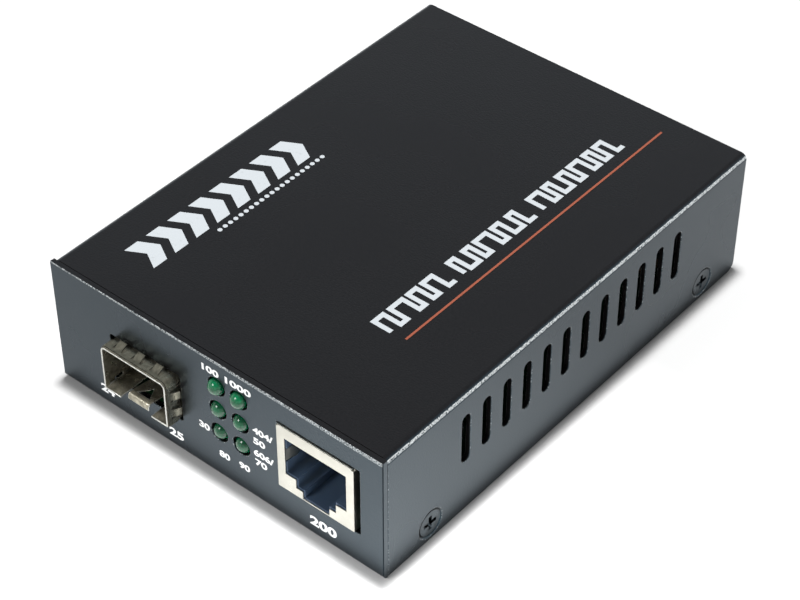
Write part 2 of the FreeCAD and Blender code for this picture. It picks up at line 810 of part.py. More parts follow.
def sfp_host_contacts():
    """Two rows of sprung contacts, upper and lower, each with a foot on the board."""
    z = board_top + card_slot_z
    foot = board_top + host_contact_sheet / 2
    tall = board_top + host_height - host_wall - host_contact_sheet
    low = z - (tall - z)
    tip = host_front + host_wall + host_contact_sheet
    upper = [(host_rear + host_foot, foot), (host_rear + contact_pinch, foot),
             (host_rear - contact_pinch, tall), (tip + contact_arm, tall),
             (tip + contact_throat, z + contact_pinch), (tip, z + contact_mouth)]
    lower = [(host_rear - 2 * host_foot, foot), (tip + contact_arm + host_foot, foot),
             (tip + contact_arm, low), (tip + contact_throat, z - contact_pinch), (tip, z - contact_mouth)]
    wide = host_contact_width / 2
    return group([ribbon(line, host_contact_sheet, "x", x - wide, x + wide)
                  for x in host_contact_places() for line in (upper, lower)])


# ================================================================ RJ45 jack
def port_outline(shrink):
    """The stepped mouth of the port, as tools: width, floor and roof of each step."""
    return [(port_width / 2 - shrink, port_ledge + shrink, port_top - shrink),
            (port_step_width / 2 - shrink, port_step_ledge + shrink, port_top - shrink),
            (port_key_width / 2 - shrink, port_key_ledge + shrink, port_top - shrink)]


def port_tool(shrink, y0, y1):
    """The stepped mouth as one cutting tool."""
    return fuse([block(jack_x - half, jack_x + half, y0, y1, low, high)
                 for half, low, high in port_outline(shrink)])


def rj45_shield():
    """The plated steel can round the jack, with its face, side springs and two legs."""
    outside = block(jack_x - jack_half, jack_x + jack_half, jack_face, jack_back, jack_bottom, jack_top)
    outside = rounded(outside, shield_corner, "y", lambda m: m.z > jack_top - near)
    inner = jack_half - shield_sheet
    inside = block(jack_x - inner, jack_x + inner, jack_face + shield_sheet, jack_back - shield_sheet,
                   jack_bottom - over, jack_top - shield_sheet)
    cuts = [inside, port_tool(0, jack_face - over, jack_face + shield_sheet + over)]
    for side in (-1, 1):
        x0, x1 = sorted((jack_x + side * (jack_half + over), jack_x + side * (jack_half - corner_notch)))
        cuts.append(block(x0, x1, jack_face - over, jack_face + corner_notch, jack_top - corner_notch,
                          jack_top - shield_sheet / 2))
    shape = outside.cut(group(cuts))
    extras = []
    for side in (-1, 1):
        edge = jack_x + side * (port_width / 2 + shield_sheet / 2)
        line = [(edge, jack_face + shield_sheet / 2),
                (edge - side * shield_sheet / 2, jack_face + side_tab_lean),
                (edge - side * side_tab_lean, jack_face + side_tab_bow),
                (edge - side * shield_sheet, jack_face + side_tab_length)]
        extras.append(ribbon(line, side_tab_sheet, "z", side_tab_low, side_tab_high))
    for side, y in leg_places():
        x0, x1 = sorted((jack_x + side * jack_half, jack_x + side * inner))
        extras.append(block(x0, x1, y - shield_leg_width / 2, y + shield_leg_width / 2,
                            board_bottom - shield_leg_reach, jack_bottom + over))
    return fuse([shape] + extras)


def wire_places():
    """Where each contact wire lies across the jack."""
    return [jack_x + (i - (wire_count - 1) / 2) * wire_pitch for i in range(wire_count)]


def rj45_housing():
    """The moulding: port, comb for the wires, roof that carries the small board, and a rear bay."""
    back = jack_back - shield_sheet - jack_fit
    body = block(jack_x - moulding_half, jack_x + moulding_half, moulding_front, back,
                 jack_bottom + jack_fit, roof_top)
    deep = jack_face + cavity_depth
    cuts = [port_tool(port_rim, moulding_front - over, deep)]
    spread = wire_places()[-1] - jack_x + 2 * wire_radius
    cuts.append(block(jack_x - spread, jack_x + spread, jack_face + wire_front_y - 3 * wire_radius, deep,
                      cavity_top - over, roof_top + over))
    bay = moulding_half - jack_roof
    cuts.append(block(jack_x - bay, jack_x + bay, deep + jack_roof, back + over,
                      jack_bottom + jack_roof, roof_top + over))
    for side in (-1, 1):
        x0, x1 = sorted((jack_x + side * (port_width / 2 - port_rim - near),
                         jack_x + side * (moulding_half + over)))
        cuts.append(block(x0, x1, moulding_front - over, jack_face + side_tab_length + side_tab_lean,
                          side_tab_low - side_tab_gap, side_tab_high + side_tab_gap))
    for x, y in tail_places():
        cuts.append(rod(tail_radius + jack_fit, V(x, y, jack_bottom - over),
                        V(x, y, jack_bottom + jack_roof + over)))
    ribs = []
    for i in range(wire_count + 1):
        x = jack_x + (i - wire_count / 2) * wire_pitch
        ribs.append(block(x - comb_wall / 2, x + comb_wall / 2, deep - comb_depth, deep + near,
                          wire_end_z - comb_reach, roof_top))
    return fuse([body.cut(group(cuts))] + ribs)


def wire_line(x):
    """The path of one contact wire, from its root in the small board to its free end."""
    run = roof_top - wire_drop
    return [V(x, jack_face + wire_root_y, roof_top + wire_joint), V(x, jack_face + wire_root_y, run),
            V(x, jack_face + wire_front_y, run), V(x, jack_face + wire_front_y, run - wire_fold),
            V(x, jack_face + wire_end_y, wire_end_z)]


def rj45_contact_wires():
    """Eight sprung wires that hang into the port from above and slope down to the rear."""
    return group([tube(wire_line(x), wire_radius, wire_bend) for x in wire_places()])


def rj45_small_board():
    """The board on the moulding's roof that joins the wires to the magnetics and tails."""
    half = moulding_half - jack_fit
    back = jack_back - shield_sheet - 2 * jack_fit
    board = block(jack_x - half, jack_x + half, jack_face + wire_front_y + small_board_lap, back,
                  roof_top, roof_top + small_board)
    low, high = roof_top - over, roof_top + small_board + over
    cuts = [rod(wire_hole_radius, V(x, jack_face + wire_root_y, low), V(x, jack_face + wire_root_y, high))
            for x in wire_places()]
    cuts += [rod(tail_radius + jack_fit, V(x, y, low), V(x, y, high)) for x, y in tail_places()]
    return board.cut(group(cuts))


def rj45_magnetics():
    """The potted block of small transformers in the jack's rear bay."""
    start = jack_face + cavity_depth + jack_roof + jack_fit
    half = moulding_half - jack_roof - jack_fit
    block_shape = block(jack_x - half, jack_x + half, start, start + magnetics_depth,
                        jack_bottom + jack_roof, roof_top - jack_fit)
    return rounded(block_shape, shield_corner, "z")


def rj45_tails():
    """The solder tails, from the small board down through the circuit board."""
    return group([rod(tail_radius, V(x, y, board_bottom - lead_reach), V(x, y, roof_top + small_board))
                  for x, y in tail_places()])


# ================================================================ lamps
def lamp_holder():
    """The block behind the panel that holds the six lamps."""
    low = board_top
    body = block(holder_left, holder_right, holder_front, holder_back, low, lamp_rows["top"] + holder_top)
    body = rounded(body, holder_corner, "y", lambda m: m.z > low + near)
    cuts = []
    for side, row, x, z in lamp_places():
        flange = front - lamp_proud[row] + lamp_length - lamp_flange
        cuts.append(rod(lamp_radius + lamp_fit, V(x, holder_front - over, z), V(x, flange, z)))
        cuts.append(rod(lamp_flange_radius + lamp_fit, V(x, flange, z), V(x, holder_back + over, z)))
    return body.cut(group(cuts))


def lamp(row, x, z):
    """One round lamp: dome, barrel and flange."""
    tip = front - lamp_proud[row]
    end = tip + lamp_length
    dome = Part.makeSphere(lamp_radius, V(x, tip + lamp_radius, z))
    barrel = rod(lamp_radius, V(x, tip + lamp_radius, z), V(x, end, z))
    flange = rod(lamp_flange_radius, V(x, end - lamp_flange, z), V(x, end, z))
    return fuse([dome, barrel, flange])


def lamp_leads():
    """Two leads for each lamp, bent down behind the holder into the board."""
    solids = []
    for row, x, z in lead_places():
        start = front - lamp_proud[row] + lamp_length
        back = lead_line(row)
        solids.append(tube([V(x, start, z), V(x, back, z), V(x, back, board_bottom - lead_reach)],
                           lead_radius, lead_bend))
    return group(solids)


# ================================================================ DC inlet
def inlet_spring_line():
    """The sprung strip under the inlet's bore, and its tag."""
    tag = inlet_tag_places()["spring"]
    low = inlet_z - inlet_bore_radius
    seat = low - inlet_spring_drop
    return [(tag, board_bottom - inlet_tag_reach), (tag, seat), (inlet_face - inlet_spring_bend, seat),
            (inlet_face - inlet_spring_crest, low + inlet_spring_rise),
            (inlet_face - inlet_spring_end, seat)]


def dc_inlet_housing():
    """The inlet's moulding, with a round bore that opens at the rear."""
    half = inlet_width / 2
    body = block(inlet_x - half, inlet_x + half, inlet_back, inlet_face,
                 board_top, board_top + inlet_height)
    body = rounded(body, inlet_spring_sheet, "y", lambda m: m.z > board_top + near)
    floor = inlet_face - inlet_bore_depth
    tags = inlet_tag_places()
    wide = inlet_spring_width / 2 + inlet_spring_sheet
    low = inlet_z - inlet_bore_radius
    cuts = [rod(inlet_bore_radius, V(inlet_x, floor, inlet_z), V(inlet_x, inlet_face + over, inlet_z)),
            block(inlet_x - wide, inlet_x + wide, tags["spring"] - inlet_spring_sheet,
                  inlet_face - inlet_pin_setback, low - inlet_spring_room, inlet_z - 2 * inlet_pin_radius),
            block(inlet_x - wide, inlet_x + wide, tags["spring"] - inlet_spring_sheet,
                  tags["spring"] + inlet_spring_sheet, board_top - over, low),
            block(inlet_x - wide, inlet_x + wide, inlet_back - over, inlet_back + inlet_spring_sheet * 2,
                  board_top - over, inlet_z + inlet_tag_width),
            rod(inlet_pin_neck, V(inlet_x, inlet_back - over, inlet_z), V(inlet_x, floor + over, inlet_z))]
    return body.cut(group(cuts))


def dc_inlet_pin():
    """The centre pin, riveted to its tag behind the moulding."""
    tag = inlet_tag_places()["pin"]
    thin = inlet_spring_sheet / 2
    floor = V(inlet_x, inlet_face - inlet_bore_depth, inlet_z)
    end = V(inlet_x, inlet_face - inlet_pin_setback, inlet_z)
    pin = rounded_tip(rod(inlet_pin_radius, floor, end), end)
    neck = rod(inlet_pin_neck, V(inlet_x, tag, inlet_z), floor)
    plate = block(inlet_x - inlet_tag_width / 2, inlet_x + inlet_tag_width / 2, tag - thin, tag + thin,
                  board_bottom - inlet_tag_reach, inlet_z + inlet_tag_width - inlet_spring_sheet)
    return fuse([pin, neck, plate])


def rounded_tip(pin, end):
    """Round the free end of a pin."""
    edges = [e for e in pin.Edges if e.BoundBox.YMin > end.y - near and len(e.Vertexes) == 1]
    return pin.makeFillet(inlet_pin_tip, edges)


def dc_inlet_spring():
    """The strip that presses on a plug's barrel, with its tag."""
    wide = inlet_spring_width / 2
    return ribbon(inlet_spring_line(), inlet_spring_sheet, "x", inlet_x - wide, inlet_x + wide)


# ================================================================ parts on the board
def gull_lead(place, way, axis):
    """A bent lead that leaves a chip's side and lands on the board."""
    edge, middle, height = place
    z = board_top + chip_lead_sheet / 2
    line = [(edge - way * chip_lead_root, height), (edge + way * chip_lead_knee, height),
            (edge + way * 2 * chip_lead_knee, z), (edge + way * chip_lead_reach, z)]
    return ribbon(line, chip_lead_sheet, axis, middle - chip_lead_width / 2, middle + chip_lead_width / 2)


def spaced(count, pitch):
    """Places of a row of leads about its middle."""
    return [(i - (count - 1) / 2) * pitch for i in range(count)]


def chip_body(place, size, lift):
    """A moulded chip package with bevelled upper edges."""
    x, y = place
    sx, sy, sz = size
    body = block(x - sx / 2, x + sx / 2, y - sy / 2, y + sy / 2, board_top + lift, board_top + sz)
    edges = [e for e in body.Edges if e.BoundBox.ZMin > board_top + sz - near]
    return body.makeChamfer(chip_lead_sheet, edges)


def converter_chip():
    """The main chip."""
    return chip_body(chip_place, (chip_size, chip_size, chip_height), chip_lead_sheet)


def converter_chip_leads():
    """The main chip's leads, on its four sides."""
    x, y = chip_place
    height = board_top + chip_height / 2
    solids = []
    for shift in spaced(chip_leads_per_side, chip_lead_pitch):
        for way in (-1, 1):
            solids.append(gull_lead((x + way * chip_size / 2, y + shift, height), way, "y"))
            solids.append(gull_lead((y + way * chip_size / 2, x + shift, height), way, "x"))
    body = converter_chip()
    return group([s.cut(body) for s in solids])


def memory_chip():
    """The small chip that holds the settings."""
    return chip_body(memory_place, memory_size, chip_lead_sheet)


def memory_chip_leads():
    """The small chip's leads, on two sides."""
    x, y = memory_place
    height = board_top + memory_size[2] / 2
    solids = [gull_lead((y + way * memory_size[1] / 2, x + shift, height), way, "x")
              for shift in spaced(memory_leads_per_side, memory_lead_pitch) for way in (-1, 1)]
    body = memory_chip()
    return group([s.cut(body) for s in solids])


def crystal_can():
    """The crystal's sealed can, with its rim."""
    x, y = crystal_place

    def pill(width, z0, z1):
        run = (crystal_length - crystal_width) / 2
        r = width / 2
        return fuse([block(x - run, x + run, y - r, y + r, z0, z1),
                     rod(r, V(x - run, y, z0), V(x - run, y, z1)),
                     rod(r, V(x + run, y, z0), V(x + run, y, z1))])
    rim = pill(crystal_width, board_top, board_top + crystal_rim_height)
    can = pill(crystal_width - 2 * crystal_rim, board_top, board_top + crystal_height)
    return fuse([rim, can])


def regulator():
    """The voltage regulator: a small package with one wide tab and three legs."""
    x, y = regulator_place
    sx, sy, sz = regulator_size
    body = chip_body(regulator_place, regulator_size, chip_lead_sheet)
    foot = board_top + chip_lead_sheet
    tab = block(x - sx / 4, x + sx / 4, y + sy / 2 - near, y + sy / 2 + regulator_reach, board_top, foot)
    neck = block(x - sx / 4, x + sx / 4, y, y + sy / 2 + chip_lead_sheet, board_top, board_top + sz / 2)
    half = regulator_leg_width / 2
    legs = [block(x + s - half, x + s + half, y - sy / 2 - regulator_reach, y, board_top, foot + near)
            for s in spaced(3, regulator_leg_pitch)]
    return fuse([body, tab, neck] + legs)


def power_coil():
    """The shielded inductor of the supply."""
    x, y = coil_place
    half = coil_size / 2
    body = block(x - half, x + half, y - half, y + half, board_top, board_top + coil_height)
    body = rounded(body, coil_corner, "z")
    low, high = V(x, y, board_top + coil_height - coil_ring_depth), V(x, y, board_top + coil_height + over)
    ring = rod(coil_ring_radius, low, high).cut(rod(coil_ring_radius - coil_ring_width, low, high))
    return body.cut(ring)


def input_diode():
    """The diode behind the inlet."""
    return chip_body(diode_place, diode_size, 0)


def electrolytic_capacitors():
    """Two upright round cans with a rolled groove above the board."""
    solids = []
    for y in (board_rear - place for place in cans_from_rear):
        groove = board_top + can_groove_height
        can = rod(can_radius, V(can_column, y, board_top), V(can_column, y, board_top + can_height))
        middle = V(can_column, y, groove)
        ring = Part.makeTorus(can_radius + can_groove_depth, can_groove_radius, middle, V(0, 0, 1))
        dish = rod(can_radius - can_rim, V(can_column, y, board_top + can_height - can_groove_depth),
                   V(can_column, y, board_top + can_height + over))
        solids.append(can.cut(group([ring, dish])))
    return group(solids)


def chip_parts():
    """Small resistors and capacitors, in rows round the chips."""
    sx, sy, sz = chip_part_size
    x, y = chip_place
    ring = chip_size / 2 + chip_lead_reach + sx
    pitch = chip_part_pitch
    places = [(x + s, y + way * ring) for s in spaced(5, pitch) for way in (-1, 1)]
    places += [(x + ring + sx, y + s) for s in spaced(4, pitch)]
    places += [(memory_place[0] + s, memory_place[1] + way * memory_parts_gap)
               for s in spaced(2, pitch) for way in (-1, 1)]
    places += [(regulator_place[0] + regulator_parts_gap, regulator_place[1] + s) for s in spaced(2, pitch)]
    places += [(post_column - rear_parts_inset + s, post_rear_row) for s in spaced(4, pitch)]
    return group([block(a - sx / 2, a + sx / 2, b - sy / 2, b + sy / 2, board_top, board_top + sz)
                  for a, b in places])


# ================================================================ print on the cover
def print_emblem():
    """A row of chevrons that point to the rear, over a row of dots."""
    solids = []
    middle = (emblem_top + emblem_foot) / 2
    tall = (emblem_foot - emblem_top) / 2
    for i in range(emblem_count):
        y = emblem_start + i * emblem_pitch
        tip = y + emblem_point
        low, high = middle - tall, middle + tall
        solids.append(prism([(low, y), (low, y + emblem_stroke), (middle, tip + emblem_stroke),
                             (high, y + emblem_stroke), (high, y), (middle, tip)],
                            "z", cover_top, cover_top + print_thickness))
    for i in range(dot_count):
        y = dot_start + i * dot_pitch
        solids.append(rod(dot_radius, V(dot_x, y, cover_top), V(dot_x, y, cover_top + print_thickness)))
    return group(solids)


def print_pulses():
    """Three trains of square pulses, drawn as one stroke each."""
    solids = []
    y = pulse_start
    for word in pulse_words:
        up = True
        line = [(pulse_foot, y)]
        for length in word:
            x = pulse_top if up else pulse_foot
            line.append((x, y))
            y += length
            line.append((x, y))
            up = not up
        line = [p for i, p in enumerate(line) if i == 0 or p != line[i - 1]]
        solids.append(ribbon(line, pulse_stroke, "z", cover_top, cover_top + print_thickness))
        y += pulse_word_gap
    return group(solids)


def print_stripe():
    """The thin stripe beside the pulses."""
    return block(stripe_x - stripe_width / 2, stripe_x + stripe_width / 2, stripe_start, stripe_end,
                 cover_top, cover_top + print_thickness)


nodes = {
    "base_tray": base_tray(),
    "top_cover": top_cover(),
    "cover_screws": cover_screws(),
    "circuit_board": circuit_board(),
    "board_posts": board_posts(),
    "board_screws": board_screws(),
    "sfp_cage_shell": sfp_cage_shell(),
    "sfp_cage_floor": sfp_cage_floor(),
    "sfp_collar": sfp_collar(),
    "sfp_host_connector": sfp_host_connector(),
    "sfp_host_contacts": sfp_host_contacts(),
    "rj45_shield": rj45_shield(),
    "rj45_housing": rj45_housing(),
    "rj45_contact_wires": rj45_contact_wires(),
    "rj45_small_board": rj45_small_board(),
    "rj45_magnetics": rj45_magnetics(),
    "rj45_tails": rj45_tails(),
    "lamp_holder": lamp_holder(),
    "lamp_leads": lamp_leads(),
    "dc_inlet_housing": dc_inlet_housing(),
    "dc_inlet_pin": dc_inlet_pin(),
    "dc_inlet_spring": dc_inlet_spring(),
    "converter_chip": converter_chip(),
    "converter_chip_leads": converter_chip_leads(),
    "memory_chip": memory_chip(),
    "memory_chip_leads": memory_chip_leads(),
    "crystal_can": crystal_can(),
    "regulator": regulator(),
    "power_coil": power_coil(),
    "input_diode": input_diode(),
    "electrolytic_capacitors": electrolytic_capacitors(),
    "chip_parts": chip_parts(),
    "print_emblem": print_emblem(),
    "print_pulses": print_pulses(),
    "print_stripe": print_stripe(),
}
for lamp_side, lamp_row, lamp_x, lamp_z in lamp_places():
    nodes["lamp_" + lamp_side + "_" + lamp_row] = lamp(lamp_row, lamp_x, lamp_z)

os.makedirs("parts", exist_ok=True)
for node_name, node_shape in nodes.items():
    save(node_name, node_shape)
    print(node_name, len(node_shape.Solids), "solids", round(node_shape.Volume, 2), "mm3",
          "valid" if node_shape.isValid() else "INVALID")
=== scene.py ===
"""Looks of a fibre media converter: finishes, rounded sheet metal, lenses and studio round its CAD frame.

Lengths are in metres. X is across the front, -Y is the front, +Z is up, and the case stands on Z = 0.
"""

import functools
import logging
import math
from collections.abc import Callable, Iterable
from dataclasses import dataclass, field
from enum import Enum

import bmesh
import bpy
from mathutils import Matrix, Vector


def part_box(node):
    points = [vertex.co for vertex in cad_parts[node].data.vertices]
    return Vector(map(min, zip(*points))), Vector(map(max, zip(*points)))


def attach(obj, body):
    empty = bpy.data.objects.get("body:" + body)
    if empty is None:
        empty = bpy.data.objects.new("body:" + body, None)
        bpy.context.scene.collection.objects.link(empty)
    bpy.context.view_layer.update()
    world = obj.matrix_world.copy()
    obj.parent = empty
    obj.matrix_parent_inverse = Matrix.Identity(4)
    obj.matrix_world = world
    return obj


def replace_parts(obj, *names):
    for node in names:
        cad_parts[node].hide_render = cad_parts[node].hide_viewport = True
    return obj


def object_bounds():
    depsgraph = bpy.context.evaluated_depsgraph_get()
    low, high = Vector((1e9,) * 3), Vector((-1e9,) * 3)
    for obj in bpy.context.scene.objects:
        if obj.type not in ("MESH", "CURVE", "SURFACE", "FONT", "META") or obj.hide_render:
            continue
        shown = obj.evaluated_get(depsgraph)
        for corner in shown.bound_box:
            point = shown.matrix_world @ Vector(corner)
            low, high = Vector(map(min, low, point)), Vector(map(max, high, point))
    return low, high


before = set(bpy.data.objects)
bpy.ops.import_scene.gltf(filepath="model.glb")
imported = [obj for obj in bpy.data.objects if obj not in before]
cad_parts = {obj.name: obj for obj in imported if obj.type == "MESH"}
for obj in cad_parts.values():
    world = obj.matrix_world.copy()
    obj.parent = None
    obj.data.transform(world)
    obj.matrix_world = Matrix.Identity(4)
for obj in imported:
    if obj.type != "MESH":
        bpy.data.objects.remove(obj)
cad_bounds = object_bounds()

MM = 0.001
WELD = 0.0005 * MM                 # points this close are one
ON_FACE = 0.02 * MM                # an edge this near to a flat face lies in it
FLAT_WITHIN = math.radians(0.5)    # faces that turn by less are one flat face
SHARP_FROM = math.radians(40)      # edges that turn by more are rounded
RIM = "rim"
Colour = tuple[float, float, float]
log = logging.getLogger("media_converter")


class Body(Enum):
    """The CAD bodies that pieces ride on."""

    CASE = "case"
    CONTACTS = "jack_contacts"


class Slot(Enum):
    """The record's material slots."""

    PAINT = "powder_coat"
    BLACK_SCREW = "black_screw"
    NICKEL = "nickel"
    TIN = "tin"
    GOLD = "gold"
    BLACK_MOULDING = "black_moulding"
    JACK_MOULDING = "jack_moulding"
    WHITE_PRINT = "white_print"
    LENS = "green_lens"


class Arithmetic(Enum):
    """How a node joins two values."""

    SUM = "ADD"
    PRODUCT = "MULTIPLY"


# ---------------------------------------------------------------- node trees
class Shading:
    """A material's node tree, built up from a Principled shader on Object coordinates."""

    def __init__(self, name: str) -> None:
        """Starts the tree.

        Args:
            name: The material's name.
        """
        self.material = bpy.data.materials.new(name)
        self.material.use_nodes = True
        self.nodes = self.material.node_tree.nodes
        self.links = self.material.node_tree.links
        self.shader = self.nodes["Principled BSDF"]
        self.place = self.nodes.new("ShaderNodeTexCoord").outputs["Object"]

    def set(self, **values: float | Colour) -> None:
        """Sets the shader's own sockets.

        Args:
            **values: A number or a colour for each socket, with its name in lower case.
        """
        for key, value in values.items():
            socket = self.shader.inputs[key.replace("_", " ").title().replace("Ior", "IOR")]
            socket.default_value = (*value, 1.0) if isinstance(value, tuple) else value

    def stretch(self, scale: tuple[float, float, float]) -> bpy.types.NodeSocket:
        """Scales the Object coordinates along each axis.

        Args:
            scale: The factor for each axis.

        Returns:
            The scaled coordinates.
        """
        node = self.nodes.new("ShaderNodeMapping")
        node.inputs["Scale"].default_value = scale
        self.links.new(self.place, node.inputs["Vector"])
        return node.outputs["Vector"]

    def noise(self, size: float, detail: float = 2.0,
              place: bpy.types.NodeSocket | None = None) -> bpy.types.NodeSocket:
        """Adds a noise texture.

        Args:
            size: The grain's size in metres.
            detail: How many finer octaves it has.
            place: The coordinates, if not the plain Object ones.

        Returns:
            Its value, about 0.5 on average.
        """
        node = self.nodes.new("ShaderNodeTexNoise")
        node.inputs["Scale"].default_value = 1.0 / size
        node.inputs["Detail"].default_value = detail
        self.links.new(place or self.place, node.inputs["Vector"])
        return node.outputs["Fac"]

    def attribute(self, name: str) -> bpy.types.NodeSocket:
        """Reads a number that the mesh holds on its faces or points.

        Args:
            name: The mesh attribute's name.

        Returns:
            The number.
        """
        node = self.nodes.new("ShaderNodeAttribute")
        node.attribute_name = name
        return node.outputs["Fac"]

    def combine(self, operation: Arithmetic, first: bpy.types.NodeSocket,
                second: bpy.types.NodeSocket) -> bpy.types.NodeSocket:
        """Joins two values.

        Args:
            operation: How they are joined.
            first: The first value.
            second: The second value.

        Returns:
            The result.
        """
        node = self.nodes.new("ShaderNodeMath")
        node.operation = operation.value
        self.links.new(first, node.inputs[0])
        self.links.new(second, node.inputs[1])
        return node.outputs["Value"]

    def times(self, first: bpy.types.NodeSocket, second: bpy.types.NodeSocket) -> bpy.types.NodeSocket:
        """Returns the product of two values."""
        return self.combine(Arithmetic.PRODUCT, first, second)

    def plus(self, first: bpy.types.NodeSocket, second: bpy.types.NodeSocket) -> bpy.types.NodeSocket:
        """Returns the sum of two values."""
        return self.combine(Arithmetic.SUM, first, second)

    def cells(self, size: float) -> bpy.types.NodeSocket:
        """Scatters points over the surface.

        Args:
            size: Their spacing in metres.

        Returns:
            The distance to the nearest, as a share of the spacing.
        """
        node = self.nodes.new("ShaderNodeTexVoronoi")
        node.inputs["Scale"].default_value = 1.0 / size
        self.links.new(self.place, node.inputs["Vector"])
        return node.outputs["Distance"]

    def spread(self, value: bpy.types.NodeSocket, low: float, high: float,
               start: float = 0.3, end: float = 0.7) -> bpy.types.NodeSocket:
        """Maps a value onto a range.

        Args:
            value: The value to map.
            low: What start becomes.
            high: What end becomes.
            start: The value's lower end.
            end: The value's upper end.

        Returns:
            The mapped value.
        """
        node = self.nodes.new("ShaderNodeMapRange")
        for key, number in (("From Min", start), ("From Max", end), ("To Min", low), ("To Max", high)):
            node.inputs[key].default_value = number
        self.links.new(value, node.inputs["Value"])
        return node.outputs["Result"]

    def blend(self, share: bpy.types.NodeSocket, first: bpy.types.NodeSocket | Colour,
              second: Colour) -> bpy.types.NodeSocket:
        """Mixes two colours.

        Args:
            share: How much of the second.
            first: The colour where share is 0, or the socket that gives it.
            second: The colour where share is 1.

        Returns:
            The mixed colour.
        """
        node = self.nodes.new("ShaderNodeMix")
        node.data_type = "RGBA"
        self.links.new(share, node.inputs["Factor"])
        if isinstance(first, tuple):
            node.inputs["A"].default_value = (*first, 1.0)
        else:
            self.links.new(first, node.inputs["A"])
        node.inputs["B"].default_value = (*second, 1.0)
        return node.outputs["Result"]

    def colour(self, value: bpy.types.NodeSocket) -> None:
        """Takes the base colour from a socket."""
        self.links.new(value, self.shader.inputs["Base Color"])

    def roughness(self, value: bpy.types.NodeSocket) -> None:
        """Takes the roughness from a socket."""
        self.links.new(value, self.shader.inputs["Roughness"])

    def bump(self, *layers: tuple[bpy.types.NodeSocket, float, float]) -> None:
        """Bumps the surface.

        Args:
            *layers: For each, its height from 0 to 1, its depth in metres and its strength.
        """
        below = None
        for height, depth, strength in layers:
            node = self.nodes.new("ShaderNodeBump")
            node.inputs["Strength"].default_value = strength
            node.inputs["Distance"].default_value = depth
            self.links.new(height, node.inputs["Height"])
            if below:
                self.links.new(below, node.inputs["Normal"])
            below = node.outputs["Normal"]
        self.links.new(below, self.shader.inputs["Normal"])


def tinted(colour: Colour, factor: float) -> Colour:
    """Returns a colour made lighter or darker by a factor."""
    return tuple(min(1.0, part * factor) for part in colour)


# ---------------------------------------------------------------- finishes
@dataclass(frozen=True)
class PowderCoat:
    """Satin black powder coat: a fine leathery grain that glints.

    Where the rim attribute is above 0 it shows grey specks, a painted highlight that is partly thin coat, and
    below 0 it is dull.
    """

    name: str = "satin_powder_coat"
    albedo: Colour = (0.0052, 0.0043, 0.0042)
    # grey of the specks on rounded edges and folds: painted highlight, partly thin coat
    speck: Colour = (0.46, 0.48, 0.48)
    gloss_tint: Colour = (0.38, 0.74, 1.0)
    ior: float = 1.325
    grain: float = 0.35 * MM
    speck_size: float = 0.24 * MM
    peel: float = 1.6 * MM
    cloud: float = 22 * MM

    @functools.cache
    def material(self) -> bpy.types.Material:
        """Makes the paint.

        Returns:
            The material, which is made once.
        """
        tree = Shading(self.name)
        tree.set(specular_tint=self.gloss_tint, specular_ior_level=1.0, ior=self.ior)
        grain, peel = tree.noise(self.grain, 3.0), tree.noise(self.peel, 1.0)
        cloud, rim = tree.noise(self.cloud, 2.0), tree.attribute(RIM)
        paint = tree.blend(tree.spread(grain, 0.0, 1.0), self.albedo, tinted(self.albedo, 1.4))
        # painted highlight: grey specks where the rim attribute is above 0, partly thin coat
        worn = tree.plus(tree.noise(self.speck_size, 2.0), tree.spread(rim, 0.0, 0.25, 0.0, 1.0))
        thin = tree.times(tree.spread(rim, 0.0, 1.0, 0.0, 0.1), tree.spread(worn, 0.05, 1.0, 0.57, 0.76))
        tree.colour(tree.blend(thin, paint, self.speck))
        dull = tree.spread(rim, 3.0, 1.0, -1.0, 0.0)
        tree.roughness(tree.times(tree.spread(cloud, 0.25, 0.31, 0.2, 0.8), dull))
        rough = tree.times(grain, tree.spread(rim, 0.13, 1.0, 0.0, 0.3))
        tree.bump((peel, 0.02 * MM, 0.2), (rough, 0.25 * MM, 0.8))
        return tree.material


@dataclass(frozen=True)
class PlatedMetal:
    """A metal or a plating with a faint stain and the fine lines of rolled or drawn stock; faces marked rim
    take the rim colour, painted highlight on the cage and painted shade on the collar and screws.
    """

    name: str
    colour: Colour
    roughness: float = 0.3
    lines: tuple[float, float, float] = (1.0, 0.12, 1.0)
    stain: float = 0.9
    pits: float = 0.25
    # colour of faces marked rim: painted highlight or painted shade, set per finish below
    rim: Colour = (0.1, 0.1, 0.1)
    wave: float = 0.0
    metallic: float = 1.0
    cloud: float = 2.6 * MM
    line: float = 0.12 * MM
    pit: float = 0.35 * MM
    ripple: float = 1.3 * MM

    @functools.cache
    def material(self) -> bpy.types.Material:
        """Makes the metal.

        Returns:
            The material, which is made once.
        """
        tree = Shading(self.name)
        tree.set(metallic=self.metallic)
        drawn = tree.noise(self.line, 2.0, tree.stretch(self.lines))
        cloud, pit = tree.noise(self.cloud, 4.0), tree.noise(self.pit, 2.0)
        plate = tree.blend(tree.spread(cloud, 0.0, 1.0), tinted(self.colour, self.stain), self.colour)
        # faces marked rim take the rim colour: painted highlight on the cage's edges, painted shade on the
        # collar and screws
        tree.colour(tree.blend(tree.attribute(RIM), plate, self.rim))
        tree.roughness(tree.spread(cloud, self.roughness * 1.25, self.roughness * 0.8))
        tree.bump((tree.noise(self.ripple, 1.0), 0.15 * MM, self.wave), (pit, 0.03 * MM, self.pits),
                  (drawn, 0.015 * MM, 0.3))
        return tree.material


@dataclass(frozen=True)
class Moulding:
    """Moulded plastic with the fine erosion of its tool."""

    name: str
    colour: Colour
    roughness: float = 0.45
    texture: float = 0.3 * MM
    cloud: float = 6 * MM

    @functools.cache
    def material(self) -> bpy.types.Material:
        """Makes the plastic.

        Returns:
            The material, which is made once.
        """
        tree = Shading(self.name)
        tree.set(specular_ior_level=0.5)
        grain, cloud = tree.noise(self.texture, 2.0), tree.noise(self.cloud, 2.0)
        tree.colour(tree.blend(tree.spread(cloud, 0.0, 1.0), self.colour, tinted(self.colour, 1.3)))
        tree.roughness(tree.spread(cloud, self.roughness * 0.9, self.roughness * 1.15))
        tree.bump((grain, 0.015 * MM, 0.25))
        return tree.material


